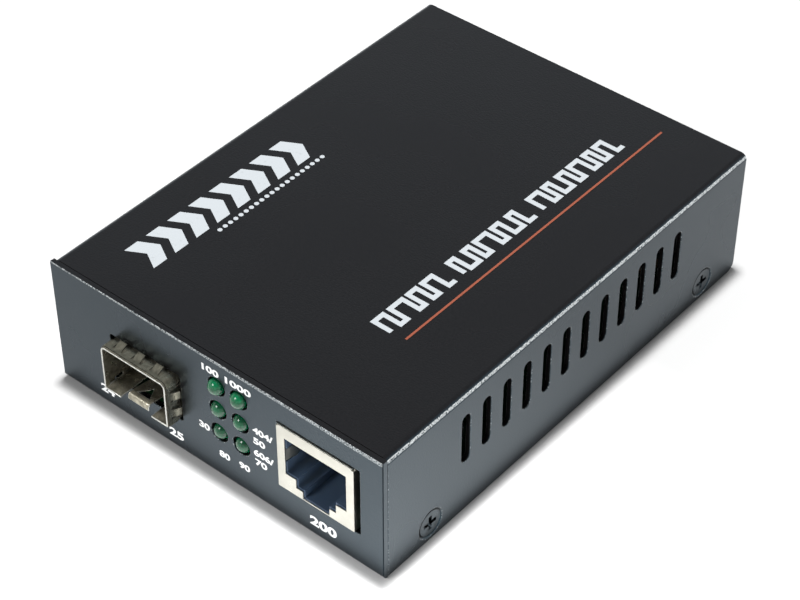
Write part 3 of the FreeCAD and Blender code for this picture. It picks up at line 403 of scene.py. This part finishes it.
@dataclass(frozen=True)
class ScreenInk:
    """Screen-printed ink that follows the paint's grain and thins out a little."""

    name: str
    colour: Colour
    worn: Colour
    grain: float = 0.25 * MM
    mesh: float = 0.9 * MM

    @functools.cache
    def material(self) -> bpy.types.Material:
        """Makes the ink.

        Returns:
            The material, which is made once.
        """
        tree = Shading(self.name)
        grain, mesh = tree.noise(self.grain, 3.0), tree.noise(self.mesh, 3.0)
        tree.colour(tree.blend(tree.spread(mesh, 0.0, 1.0, 0.62, 0.78), self.colour, self.worn))
        tree.roughness(tree.spread(grain, 0.42, 0.58))
        tree.bump((grain, 0.02 * MM, 0.4))
        return tree.material


@dataclass(frozen=True)
class LensEpoxy:
    """Tinted clear epoxy of an indicator lamp."""

    name: str = "green_lens_epoxy"
    deep: Colour = (0.0, 0.07, 0.026)
    pale: Colour = (0.0, 0.13, 0.048)
    cloud: float = 0.8 * MM

    @functools.cache
    def material(self) -> bpy.types.Material:
        """Makes the epoxy.

        Returns:
            The material, which is made once.
        """
        tree = Shading(self.name)
        tree.set(transmission_weight=0.15, ior=1.5, specular_ior_level=0.3,
                 coat_weight=0.6, coat_roughness=0.04)
        cloud = tree.noise(self.cloud, 2.0)
        tree.colour(tree.blend(tree.spread(cloud, 0.0, 1.0), self.deep, self.pale))
        tree.roughness(tree.spread(cloud, 0.07, 0.13))
        return tree.material


@dataclass(frozen=True)
class SolderMask:
    """Green solder mask over copper traces, with bare tinned rings at vias."""

    name: str = "solder_mask"
    bare: Colour = (0.003, 0.022, 0.008)
    traced: Colour = (0.006, 0.05, 0.016)
    ring: Colour = (0.6, 0.58, 0.5)
    trace_pitch: float = 1.3 * MM
    via_pitch: float = 3.1 * MM
    cloud: float = 4 * MM

    @functools.cache
    def material(self) -> bpy.types.Material:
        """Makes the coated board.

        Returns:
            The material, which is made once.
        """
        tree = Shading(self.name)
        tree.set(specular_ior_level=0.55)
        bricks = tree.nodes.new("ShaderNodeTexBrick")
        bricks.offset_frequency = 3
        bricks.inputs["Scale"].default_value = 1.0 / self.trace_pitch
        bricks.inputs["Mortar Size"].default_value = 0.06
        bricks.inputs["Brick Width"].default_value = 3.5
        bricks.inputs["Row Height"].default_value = 0.55
        tree.links.new(tree.place, bricks.inputs["Vector"])
        vias = tree.spread(tree.cells(self.via_pitch), 1.0, 0.0, 0.1, 0.12)
        traced = tree.blend(bricks.outputs["Fac"], self.traced, self.bare)
        tree.colour(tree.blend(vias, traced, self.ring))
        tree.roughness(tree.spread(tree.noise(self.cloud), 0.24, 0.34))
        tree.bump((bricks.outputs["Fac"], 0.03 * MM, 0.4))
        return tree.material


@dataclass(frozen=True)
class FloorWithPaintedLightPool:
    """Matt white studio board with a painted pool of light, white at its centre and graded to mid grey away
    from it.
    """

    name: str = "studio_board_painted_light_pool"
    colour: Colour = (0.92, 0.92, 0.92)
    # painted shade: the board's colour far from the painted pool of light
    edge: Colour = (0.435, 0.435, 0.435)
    painted_light_centre: tuple[float, float, float] = (38 * MM, -52 * MM, 0.0)
    painted_light_reach: float = 72 * MM
    cloud: float = 80 * MM

    @functools.cache
    def material(self) -> bpy.types.Material:
        """Makes the board.

        Returns:
            The material, which is made once.
        """
        tree = Shading(self.name)
        tree.set(specular_ior_level=0.2)
        away = tree.nodes.new("ShaderNodeVectorMath")
        away.operation = "DISTANCE"
        away.inputs[1].default_value = self.painted_light_centre
        tree.links.new(tree.place, away.inputs[0])
        # painted pool of light: white at its centre, graded to mid grey over its reach
        tree.colour(tree.blend(tree.spread(away.outputs["Value"], 0.0, 1.0, 0.0, self.painted_light_reach),
                               self.colour, self.edge))
        tree.roughness(tree.spread(tree.noise(self.cloud), 0.75, 0.85))
        return tree.material


Finish = PowderCoat | PlatedMetal | Moulding | ScreenInk | LensEpoxy | SolderMask | FloorWithPaintedLightPool

PAINT = PowderCoat()
# rim colour: painted shade in the groove round each screw head
SCREW_BLACK = PlatedMetal("black_screw_finish", (0.05, 0.063, 0.072), 0.3, rim=(0.008, 0.01, 0.012))
# rim colour: painted highlight on the cage's cut mouth and rounded edges
NICKEL = PlatedMetal("cage_nickel", (0.5, 0.47, 0.37), 0.3, lines=(1.0, 0.1, 1.0), stain=0.32, pits=0.7,
                     rim=(0.58, 0.58, 0.54), wave=0.7, metallic=0.86, cloud=1.2 * MM)
# rim colour: painted shade on the collar's front faces in the step and along its slits
SPRING_NICKEL = PlatedMetal("spring_nickel", (0.34, 0.33, 0.26), 0.3, lines=(0.15, 1.0, 1.0), stain=0.5,
                            pits=0.8, rim=(0.04, 0.04, 0.034), wave=0.4, metallic=0.86, cloud=0.7 * MM)
TIN = PlatedMetal("matte_tin", (0.54, 0.53, 0.47), 0.33, lines=(1.0, 1.0, 0.15), stain=0.93, pits=0.15)
ZINC = PlatedMetal("zinc_plate", (0.72, 0.73, 0.74), 0.3)
BRASS = PlatedMetal("turned_brass", (0.78, 0.6, 0.28), 0.25, lines=(1.0, 1.0, 0.1))
GOLD = PlatedMetal("gold_flash", (0.95, 0.68, 0.3), 0.2, lines=(1.0, 0.1, 1.0))
BLACK_PLASTIC = Moulding("black_moulding", (0.014, 0.014, 0.015), 0.5)
JACK_PLASTIC = Moulding("jack_moulding", (0.045, 0.075, 0.125), 0.5)
CHIP_EPOXY = Moulding("chip_epoxy", (0.022, 0.022, 0.024), 0.6, 0.15 * MM)
SLEEVE = Moulding("capacitor_sleeve", (0.012, 0.012, 0.04), 0.22, 2 * MM)
CERAMIC = Moulding("chip_ceramic", (0.33, 0.24, 0.15), 0.5, 0.1 * MM)
# the same white ink as two copies to suit how light falls on each face: a dark copy on the top as painted
# shade, a bright copy on the front as painted light
TOP_WHITE_INK_SHADED = ScreenInk("white_ink", (0.29, 0.31, 0.325), (0.25, 0.268, 0.28))
FRONT_WHITE_INK_LIT = ScreenInk("front_white_ink", (0.94, 0.95, 0.95), (0.8, 0.82, 0.83))
ORANGE_INK = ScreenInk("orange_ink", (0.175, 0.047, 0.026), (0.145, 0.04, 0.023))
LENS = LensEpoxy()
MASK = SolderMask()


# ---------------------------------------------------------------- meshes
def joined_mesh(node: str) -> bmesh.types.BMesh:
    """Copies a CAD node's mesh, with its loose triangles merged and its flat faces whole.

    Args:
        node: The CAD node.

    Returns:
        The copy, for the caller to shape and free.
    """
    shape = bmesh.new()
    shape.from_mesh(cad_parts[node].data)
    bmesh.ops.remove_doubles(shape, verts=shape.verts, dist=WELD)
    bmesh.ops.dissolve_limit(shape, angle_limit=FLAT_WITHIN, use_dissolve_boundaries=False,
                             verts=shape.verts, edges=shape.edges, delimit={"NORMAL"})
    return shape


def round_edges(shape: bmesh.types.BMesh, radius: float, segments: int = 2, wear: float = 0.0,
                chosen: Callable[[bmesh.types.BMEdge], bool] = lambda edge: True) -> None:
    """Rounds a shape's sharp convex edges, and marks the roundings as its rim.

    Args:
        shape: The shape.
        radius: How far from the edge the rounding starts.
        segments: How many faces it has.
        wear: The rim attribute's value there: on paint, how much grey-speck painted highlight it shows,
            partly thin coat, or how dull if below 0; on metal, how much of the finish's rim colour, painted
            highlight on the cage and painted shade on the collar and screws.
        chosen: Whether an edge is wanted.
    """
    rim = shape.faces.layers.float.get(RIM) or shape.faces.layers.float.new(RIM)
    sharp = [edge for edge in shape.edges if len(edge.link_faces) == 2 and edge.is_convex
             and edge.calc_face_angle(0.0) > SHARP_FROM and chosen(edge)]
    rounded = bmesh.ops.bevel(shape, geom=sharp, offset=radius, offset_type="OFFSET", affect="EDGES",
                              segments=segments, profile=0.5, material=-1, clamp_overlap=False)
    for face in rounded["faces"]:
        face[rim] = wear


def make_piece(shape: bmesh.types.BMesh, name: str, finish: Finish,
               body: Body = Body.CASE, smooth: float = 40.0) -> bpy.types.Object:
    """Turns a shape into a piece that rides on a body.

    Args:
        shape: The shape, which is freed.
        name: The piece's name.
        finish: Its finish.
        body: The body that it rides on.
        smooth: The widest angle, in degrees, that is shaded smooth.

    Returns:
        The piece.
    """
    mesh = bpy.data.meshes.new(name)
    shape.to_mesh(mesh)
    shape.free()
    mesh.shade_smooth()
    mesh.set_sharp_from_angle(angle=math.radians(smooth))
    mesh.materials.append(finish.material())
    piece = bpy.data.objects.new(name, mesh)
    bpy.context.scene.collection.objects.link(piece)
    even = piece.modifiers.new("even_normals", "WEIGHTED_NORMAL")
    even.keep_sharp = True
    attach(piece, body.value)
    log.info("%s: %d faces", name, len(mesh.polygons))
    return piece


def dress(finish: Finish, *nodes: str) -> None:
    """Gives CAD nodes a finish and leaves their shapes as they are.

    Args:
        finish: The finish.
        *nodes: The CAD nodes.
    """
    for node in nodes:
        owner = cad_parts[node]
        if not owner.material_slots:
            owner.data.materials.append(None)
        for slot in owner.material_slots:
            slot.link = "OBJECT"
            slot.material = finish.material()
        log.info("%s: finish %s", node, finish.name)


def refine(node: str, finish: Finish, edge: float = 0.0, wear: float = 0.0,
           body: Body = Body.CASE, smooth: float = 40.0) -> bpy.types.Object:
    """Replaces a CAD node by a copy with rounded edges and smooth curves.

    Args:
        node: The CAD node.
        finish: The copy's finish.
        edge: The rounding of its sharp edges, or 0 for none.
        wear: The rim attribute's value on them, from 0 to 1: grey-speck painted highlight on paint, the rim
            colour on metal.
        body: The body that it rides on.
        smooth: The widest angle, in degrees, that is shaded smooth.

    Returns:
        The copy.
    """
    shape = joined_mesh(node)
    if edge:
        round_edges(shape, edge, wear=wear)
    piece = make_piece(shape, f"fine_{node}", finish, body, smooth)
    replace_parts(piece, node)
    return piece


# ---------------------------------------------------------------- sub-assemblies
@dataclass
class CaseShell:
    """The painted tray and cover, and the screws that join them."""

    edge: float = 0.14 * MM
    # grey specks on ordinary edges: worn coat and painted highlight
    edge_wear_and_highlight: float = 0.1
    brow: float = 0.75 * MM
    # how much grey-speck painted highlight the front panel's top edge shows
    brow_highlight_specks: float = 0.66
    fold: float = 1.2 * MM
    # grey-speck painted highlight on the lower half of the cover's long folds
    fold_highlight_specks: float = 0.85
    # which fold faces get the painted highlight: the sideways share of the normal, and the range of its
    # upward share
    fold_side: float = 0.7
    fold_lean: tuple[float, float] = (0.3, 0.62)
    corner_wear: float = -1.0
    screw_edge: float = 0.26 * MM
    screw_rim: float = 0.9

    def build(self) -> None:
        """Builds the tray, the cover and the screws."""
        self.build_tray()
        self.build_cover()
        self.build_screws()

    def build_tray(self) -> None:
        """Builds the folded tray: its front panel's top edge is well rounded and carries a painted highlight
        of grey specks, its ends are dull.
        """
        shape = joined_mesh("base_tray")
        low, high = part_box("base_tray")

        def is_brow(edge: bmesh.types.BMEdge) -> bool:
            """Returns whether the edge is the front panel's top edge."""
            return all(high.z - vert.co.z < ON_FACE and vert.co.y - low.y < ON_FACE
                       for vert in edge.verts)

        def is_corner(edge: bmesh.types.BMEdge) -> bool:
            """Returns whether the edge is one of the front panel's upright ends."""
            return all(vert.co.y - low.y < ON_FACE and high.x - abs(vert.co.x) < ON_FACE
                       for vert in edge.verts) and not is_brow(edge)

        def is_other(edge: bmesh.types.BMEdge) -> bool:
            """Returns whether the edge is clear of the top edge and of the ends."""
            return any(high.z - vert.co.z > 1.5 * self.brow and high.x - abs(vert.co.x) > 2 * self.edge
                       for vert in edge.verts)

        round_edges(shape, self.edge, 2, self.corner_wear, is_corner)
        round_edges(shape, self.brow, 6, self.brow_highlight_specks, is_brow)
        round_edges(shape, self.edge, 2, self.edge_wear_and_highlight, is_other)
        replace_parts(make_piece(shape, "fine_base_tray", PAINT), "base_tray")

    def build_cover(self) -> None:
        """Builds the folded cover, with a painted highlight of grey specks on the lower half of its two long
        folds.
        """
        shape = joined_mesh("top_cover")
        low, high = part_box("top_cover")
        rim = shape.faces.layers.float.new(RIM)
        least, most = self.fold_lean
        for face in shape.faces:
            # faces on the lower half of each long fold get the grey-speck painted highlight
            turned = abs(face.normal.x) > self.fold_side and least < face.normal.z < most
            if turned and face.calc_center_median().z > high.z - self.fold:
                face[rim] = self.fold_highlight_specks

        def is_open(edge: bmesh.types.BMEdge) -> bool:
            """Returns whether the edge is clear of the seam behind the front panel."""
            return any(high.z - vert.co.z > self.fold or vert.co.y - low.y > self.fold
                       for vert in edge.verts)

        round_edges(shape, self.edge, 2, self.edge_wear_and_highlight, is_open)
        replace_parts(make_piece(shape, "fine_top_cover", PAINT), "top_cover")

    def build_screws(self) -> None:
        """Builds the four screws, whose round edges are painted darker than their faces: painted shade in the
        groove round each head.
        """
        shape = joined_mesh("cover_screws")
        low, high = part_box("cover_screws")
        radius = (high.z - low.z) / 2
        axes = [(y, low.z + radius) for y in (low.y + radius, high.y - radius)]

        def is_round(edge: bmesh.types.BMEdge) -> bool:
            """Returns whether the edge lies on the rim of a head."""
            middle = (edge.verts[0].co + edge.verts[1].co) / 2
            return min(math.hypot(middle.y - y, middle.z - z) for y, z in axes) > self.screw_rim * radius

        # painted shade: the round edges of each head take the dark rim colour
        round_edges(shape, self.screw_edge, 2, 1.0, is_round)
        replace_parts(make_piece(shape, "fine_cover_screws", SCREW_BLACK), "cover_screws")


@dataclass
class PluggableCage:
    """The pluggable module's cage, its sprung collar and its host connector."""

    edge: float = 0.1 * MM
    collar_edge: float = 0.07 * MM
    front_facing: float = 0.9

    def build(self) -> None:
        """Builds the cage and dresses its connector."""
        self.build_sheet("sfp_cage_shell", NICKEL, self.edge)
        self.build_sheet("sfp_cage_floor", NICKEL, self.edge)
        self.build_sheet("sfp_collar", SPRING_NICKEL, self.collar_edge)
        dress(BLACK_PLASTIC, "sfp_host_connector")
        dress(GOLD, "sfp_host_contacts")

    def build_sheet(self, node: str, finish: PlatedMetal, edge: float) -> None:
        """Builds one of the formed sheets, whose cut front and edges have the finish's rim colour: painted
        highlight on the cage, painted shade on the collar.

        Args:
            node: The sheet's CAD node.
            finish: Its metal.
            edge: The rounding of its edges.
        """
        shape = joined_mesh(node)
        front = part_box(node)[0].y
        rim = shape.faces.layers.float.new(RIM)
        for face in shape.faces:
            inset = face.calc_center_median().y - front
            face[rim] = float(-face.normal.y > self.front_facing and inset < edge)
        round_edges(shape, edge, wear=1.0)
        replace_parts(make_piece(shape, f"fine_{node}", finish), node)


@dataclass
class TwistedPairJack:
    """The shielded RJ45 jack with its sprung contact wires."""

    shield_edge: float = 0.07 * MM
    housing_edge: float = 0.06 * MM

    def build(self) -> None:
        """Builds the shield, the moulding and the wires."""
        refine("rj45_shield", TIN, self.shield_edge)
        refine("rj45_housing", JACK_PLASTIC, self.housing_edge)
        refine("rj45_contact_wires", GOLD, body=Body.CONTACTS)
        dress(MASK, "rj45_small_board")
        dress(BLACK_PLASTIC, "rj45_magnetics")
        dress(TIN, "rj45_tails")


@dataclass
class LampGroup:
    """Six lamps in a holder: each a tinted lens over a metal cup and its two leads."""

    dome_steps: int = 14
    turns: int = 40
    lens_radius: float = 1.5 * MM
    flange: float = 1.0 * MM
    cup_radius: float = 0.55 * MM
    cup_depth: float = 0.5 * MM
    cup_place: float = 1.9 * MM
    cup_foot: float = 0.7
    cup_wall: float = 0.12 * MM
    cup_hollow: float = 0.25 * MM
    cup_sides: int = 20
    post_width: float = 0.5 * MM
    post_offset: float = 0.6 * MM
    post_share: float = 0.7
    post_middle: float = 0.4
    holder_edge: float = 0.1 * MM
    names: tuple[str, ...] = tuple(f"lamp_{column}_{row}" for column in ("left", "right")
                                   for row in ("top", "middle", "bottom"))

    def build(self) -> None:
        """Builds the lenses and their insides, and dresses the holder and the leads."""
        for name in self.names:
            self.build_lens(name)
            self.build_core(name)
        refine("lamp_holder", BLACK_PLASTIC, self.holder_edge)
        dress(TIN, "lamp_leads")

    def build_lens(self, name: str) -> None:
        """Turns a lens about its axis: dome, barrel and flange.

        Args:
            name: The lamp's CAD node.
        """
        low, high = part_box(name)
        middle = (low + high) / 2
        outer = (high.x - low.x) / 2
        radius = self.lens_radius
        shape = bmesh.new()
        arc = [math.pi / 2 * step / self.dome_steps for step in range(self.dome_steps + 1)]
        line = [(radius * math.sin(a), low.y + radius * (1 - math.cos(a))) for a in arc]
        line += [(radius, high.y - self.flange), (outer, high.y - self.flange), (outer, high.y),
                 (0.0, high.y)]
        verts = [shape.verts.new((middle.x + r, y, middle.z)) for r, y in line]
        edges = [shape.edges.new(pair) for pair in zip(verts, verts[1:])]
        bmesh.ops.spin(shape, geom=verts + edges, cent=middle, axis=(0, 1, 0), angle=2 * math.pi,
                       steps=self.turns, use_merge=True)
        bmesh.ops.remove_doubles(shape, verts=shape.verts, dist=2 * WELD)
        bmesh.ops.recalc_face_normals(shape, faces=shape.faces)
        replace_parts(make_piece(shape, f"lens_{name}", LENS), name)

    def build_core(self, name: str) -> None:
        """Builds the cup and the two posts inside a lens.

        Args:
            name: The lamp's CAD node.
        """
        low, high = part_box(name)
        middle = (low + high) / 2
        shape = bmesh.new()
        depth = high.y - low.y - self.cup_place
        cup = bmesh.ops.create_cone(shape, segments=self.cup_sides, cap_ends=True, depth=self.cup_depth,
                                    radius1=self.cup_radius * self.cup_foot, radius2=self.cup_radius)
        turn = Matrix.Rotation(math.radians(90), 4, "X")
        seat = Matrix.Translation((middle.x, low.y + self.cup_place, middle.z))
        bmesh.ops.transform(shape, matrix=seat @ turn, verts=cup["verts"])
        rim = max(shape.faces, key=lambda face: -face.calc_center_median().y)
        bmesh.ops.inset_individual(shape, faces=[rim], thickness=self.cup_wall, depth=-self.cup_hollow)
        for side in (-1, 1):
            post = bmesh.ops.create_cube(shape, size=1.0)["verts"]
            scale = Matrix.Diagonal((self.post_width, depth * self.post_share, self.post_width, 1.0))
            place = Matrix.Translation((middle.x + side * self.post_offset,
                                        high.y - depth * self.post_middle, middle.z))
            bmesh.ops.transform(shape, matrix=place @ scale, verts=post)
        make_piece(shape, f"core_{name}", TIN)


@dataclass
class PowerInlet:
    """The barrel inlet at the rear."""

    edge: float = 0.2 * MM

    def build(self) -> None:
        """Builds the moulding and dresses its contacts."""
        refine("dc_inlet_housing", BLACK_PLASTIC, self.edge)
        refine("dc_inlet_pin", NICKEL)
        dress(SPRING_NICKEL, "dc_inlet_spring")


@dataclass
class BoardAssembly:
    """The circuit board, its fixings and the parts on it."""

    finishes: dict[Finish, tuple[str, ...]] = field(default_factory=lambda: {
        MASK: ("circuit_board",),
        BRASS: ("board_posts",),
        ZINC: ("board_screws", "crystal_can"),
        TIN: ("converter_chip_leads", "memory_chip_leads"),
        CHIP_EPOXY: ("converter_chip", "memory_chip", "regulator", "power_coil", "input_diode"),
        SLEEVE: ("electrolytic_capacitors",),
        CERAMIC: ("chip_parts",),
    })

    def build(self) -> None:
        """Dresses the board and its parts."""
        for finish, nodes in self.finishes.items():
            dress(finish, *nodes)


@dataclass
class TopPrint:
    """The printed marks on the cover."""

    def build(self) -> None:
        """Dresses the white marks and the orange stripe."""
        dress(TOP_WHITE_INK_SHADED, "print_emblem", "print_pulses")
        dress(ORANGE_INK, "print_stripe")


@dataclass(frozen=True)
class Legend:
    """One printed number on the front panel."""

    text: str
    place: tuple[float, float]
    height: float
    width: float


@dataclass
class FrontLegends:
    """Plain numbers beside the lamps and the ports; places are (X, Z) of their middles, in millimetres."""

    thickness: float = 0.02 * MM
    weight: float = 0.04
    relief: float = 0.004
    weld: float = 1e-4
    legends: tuple[Legend, ...] = (
        Legend("100", (0.2, 23.0), 1.4, 3.6), Legend("1000", (6.0, 23.0), 1.4, 5.4),
        Legend("30", (-2.0, 9.7), 1.4, 2.3),
        Legend("404/", (10.75, 15.8), 1.4, 4.2), Legend("50", (9.9, 13.5), 1.4, 2.5),
        Legend("606/", (10.75, 10.9), 1.4, 4.2), Legend("70", (10.1, 8.9), 1.4, 2.5),
        Legend("80", (2.1, 5.65), 1.4, 2.3), Legend("90", (6.4, 5.9), 1.4, 2.3),
        Legend("200", (22.8, 3.6), 2.0, 5.5),
        Legend("24", (-24.35, 3.55), 1.7, 3.2), Legend("25", (-8.7, 3.5), 1.7, 3.2),
    )

    def build(self) -> None:
        """Prints the numbers on the panel's face."""
        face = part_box("base_tray")[0].y
        for legend in self.legends:
            make_piece(self.shape(legend, face), f"legend_{legend.text.strip('/')}", FRONT_WHITE_INK_LIT)

    def shape(self, legend: Legend, face: float) -> bmesh.types.BMesh:
        """Makes a number's mesh, upright on the panel.

        Args:
            legend: The number.
            face: Where the panel's face is along Y.

        Returns:
            The mesh.
        """
        curve = bpy.data.curves.new(legend.text, "FONT")
        curve.body = legend.text
        curve.size = 1.0
        curve.bevel_depth = self.weight
        curve.bevel_resolution = 0
        curve.extrude = self.relief
        writer = bpy.data.objects.new(legend.text, curve)
        bpy.context.scene.collection.objects.link(writer)
        mesh = bpy.data.meshes.new_from_object(writer)
        bpy.data.objects.remove(writer)
        shape = bmesh.new()
        shape.from_mesh(mesh)
        bmesh.ops.remove_doubles(shape, verts=shape.verts, dist=self.weld)
        spans = [(min(line), max(line)) for line in zip(*(vert.co for vert in shape.verts))]
        middle = Vector((sum(spans[0]) / 2, sum(spans[1]) / 2, spans[2][0]))
        size = [wanted / (high - low) for wanted, (low, high)
                in zip((legend.width * MM, legend.height * MM, self.thickness), spans)]
        place = Matrix.Translation((legend.place[0] * MM, face, legend.place[1] * MM))
        bmesh.ops.transform(shape, verts=shape.verts, matrix=place @ Matrix.Rotation(math.radians(90), 4, "X")
                            @ Matrix.Diagonal((*size, 1.0)) @ Matrix.Translation(-middle))
        bmesh.ops.recalc_face_normals(shape, faces=shape.faces)
        return shape


# ---------------------------------------------------------------- studio
@dataclass(frozen=True)
class Softbox:
    """A soft light that faces the object.

    Where shaded_by names pieces, only those throw its shadows. glints says whether reflections show it.
    """

    name: str
    azimuth: float
    elevation: float
    distance: float
    size: tuple[float, float]
    power: float
    shaded_by: tuple[str, ...] = ()
    glints: bool = True

    def build(self, target: Vector) -> None:
        """Hangs the light.

        Args:
            target: Where it points.
        """
        lamp = bpy.data.lights.new(self.name, "AREA")
        lamp.shape = "RECTANGLE"
        lamp.size, lamp.size_y = self.size
        lamp.energy = self.power
        holder = bpy.data.objects.new(self.name, lamp)
        place_facing(holder, target, self.azimuth, self.elevation, self.distance)
        bpy.context.scene.collection.objects.link(holder)
        holder.visible_glossy = self.glints
        if self.shaded_by:
            blockers = bpy.data.collections.new(f"{self.name}_blockers")
            for piece in self.shaded_by:
                blockers.objects.link(bpy.data.objects[piece])
            holder.light_linking.blocker_collection = blockers


def place_facing(thing: bpy.types.Object, target: Vector, azimuth: float, elevation: float,
                 distance: float) -> None:
    """Puts a camera or a light on a sphere round a point, facing it.

    Args:
        thing: The camera or the light.
        target: The point.
        azimuth: Degrees to the right of straight in front.
        elevation: Degrees above level.
        distance: Metres from the point.
    """
    turn, rise = math.radians(azimuth), math.radians(elevation)
    away = Vector((math.sin(turn) * math.cos(rise), -math.cos(turn) * math.cos(rise), math.sin(rise)))
    thing.location = target + away * distance
    thing.rotation_euler = (-away).to_track_quat("-Z", "Y").to_euler()


@dataclass
class Studio:
    """A floor with a painted pool of light, soft lights and the camera."""

    azimuth: float = 40.09
    elevation: float = 41.87
    distance: float = 381.8 * MM
    lens: float = 102.23
    nearest: float = 10 * MM
    aim: tuple[float, float, float] = (1.6 * MM, -2.7 * MM, -4.31 * MM)
    zenith: float = 0.2
    horizon: float = 0.85
    glow_top: float = 43.0
    glow_foot: float = 14.0
    floor_size: float = 6.0
    floor_gap: float = 0.02 * MM
    softboxes: tuple[Softbox, ...] = (
        Softbox("front_left", -24, 38, 1.1, (0.34, 0.34), 4.0),
        Softbox("right_back", 130, 29, 1.1, (0.3, 0.3), 0.5),
        Softbox("overhead", 220, 87.4, 1.0, (0.1, 0.1), 21.0,
                shaded_by=("fine_base_tray", "fine_top_cover"), glints=False),
    )

    def build(self) -> None:
        """Builds the floor, the lights and the camera."""
        middle = sum((Vector(corner) for corner in cad_bounds), Vector()) / 2
        self.build_floor()
        self.build_world()
        for softbox in self.softboxes:
            softbox.build(middle)
        camera = bpy.data.cameras.new("view")
        camera.lens = self.lens
        camera.clip_start = self.nearest
        holder = bpy.data.objects.new("view", camera)
        place_facing(holder, middle + Vector(self.aim), self.azimuth, self.elevation, self.distance)
        bpy.context.scene.collection.objects.link(holder)
        bpy.context.scene.camera = holder
        bpy.context.scene.view_settings.view_transform = "Standard"

    def build_floor(self) -> None:
        """Lays the floor just under the case."""
        shape = bmesh.new()
        bmesh.ops.create_grid(shape, x_segments=4, y_segments=4, size=self.floor_size / 2)
        bmesh.ops.translate(shape, vec=(0, 0, -self.floor_gap), verts=shape.verts)
        mesh = bpy.data.meshes.new("floor")
        shape.to_mesh(mesh)
        shape.free()
        mesh.materials.append(FloorWithPaintedLightPool().material())
        floor = bpy.data.objects.new("floor", mesh)
        bpy.context.scene.collection.objects.link(floor)

    def build_world(self) -> None:
        """Fills the room with a pale wall that darkens towards the ceiling."""
        world = bpy.data.worlds.new("room")
        world.use_nodes = True
        nodes, links = world.node_tree.nodes, world.node_tree.links
        direction = nodes.new("ShaderNodeTexCoord").outputs["Generated"]
        split = nodes.new("ShaderNodeSeparateXYZ")
        fall = nodes.new("ShaderNodeMapRange")
        fall.interpolation_type = "SMOOTHSTEP"
        for key, value in (("From Min", math.sin(math.radians(self.glow_foot))), ("To Min", self.horizon),
                           ("From Max", math.sin(math.radians(self.glow_top))), ("To Max", self.zenith)):
            fall.inputs[key].default_value = value
        links.new(direction, split.inputs["Vector"])
        links.new(split.outputs["Z"], fall.inputs["Value"])
        links.new(fall.outputs["Result"], nodes["Background"].inputs["Strength"])
        nodes["Background"].inputs["Color"].default_value = (1.0, 1.0, 1.0, 1.0)
        bpy.context.scene.world = world


def main() -> None:
    """Builds every sub-assembly, then the studio."""
    logging.basicConfig(level=logging.INFO, format="%(name)s: %(message)s")
    for assembly in (CaseShell(), PluggableCage(), TwistedPairJack(), LampGroup(), PowerInlet(),
                     BoardAssembly(), TopPrint(), FrontLegends(), Studio()):
        log.info("building %s", type(assembly).__name__)
        assembly.build()


if __name__ == "__main__":
    main()
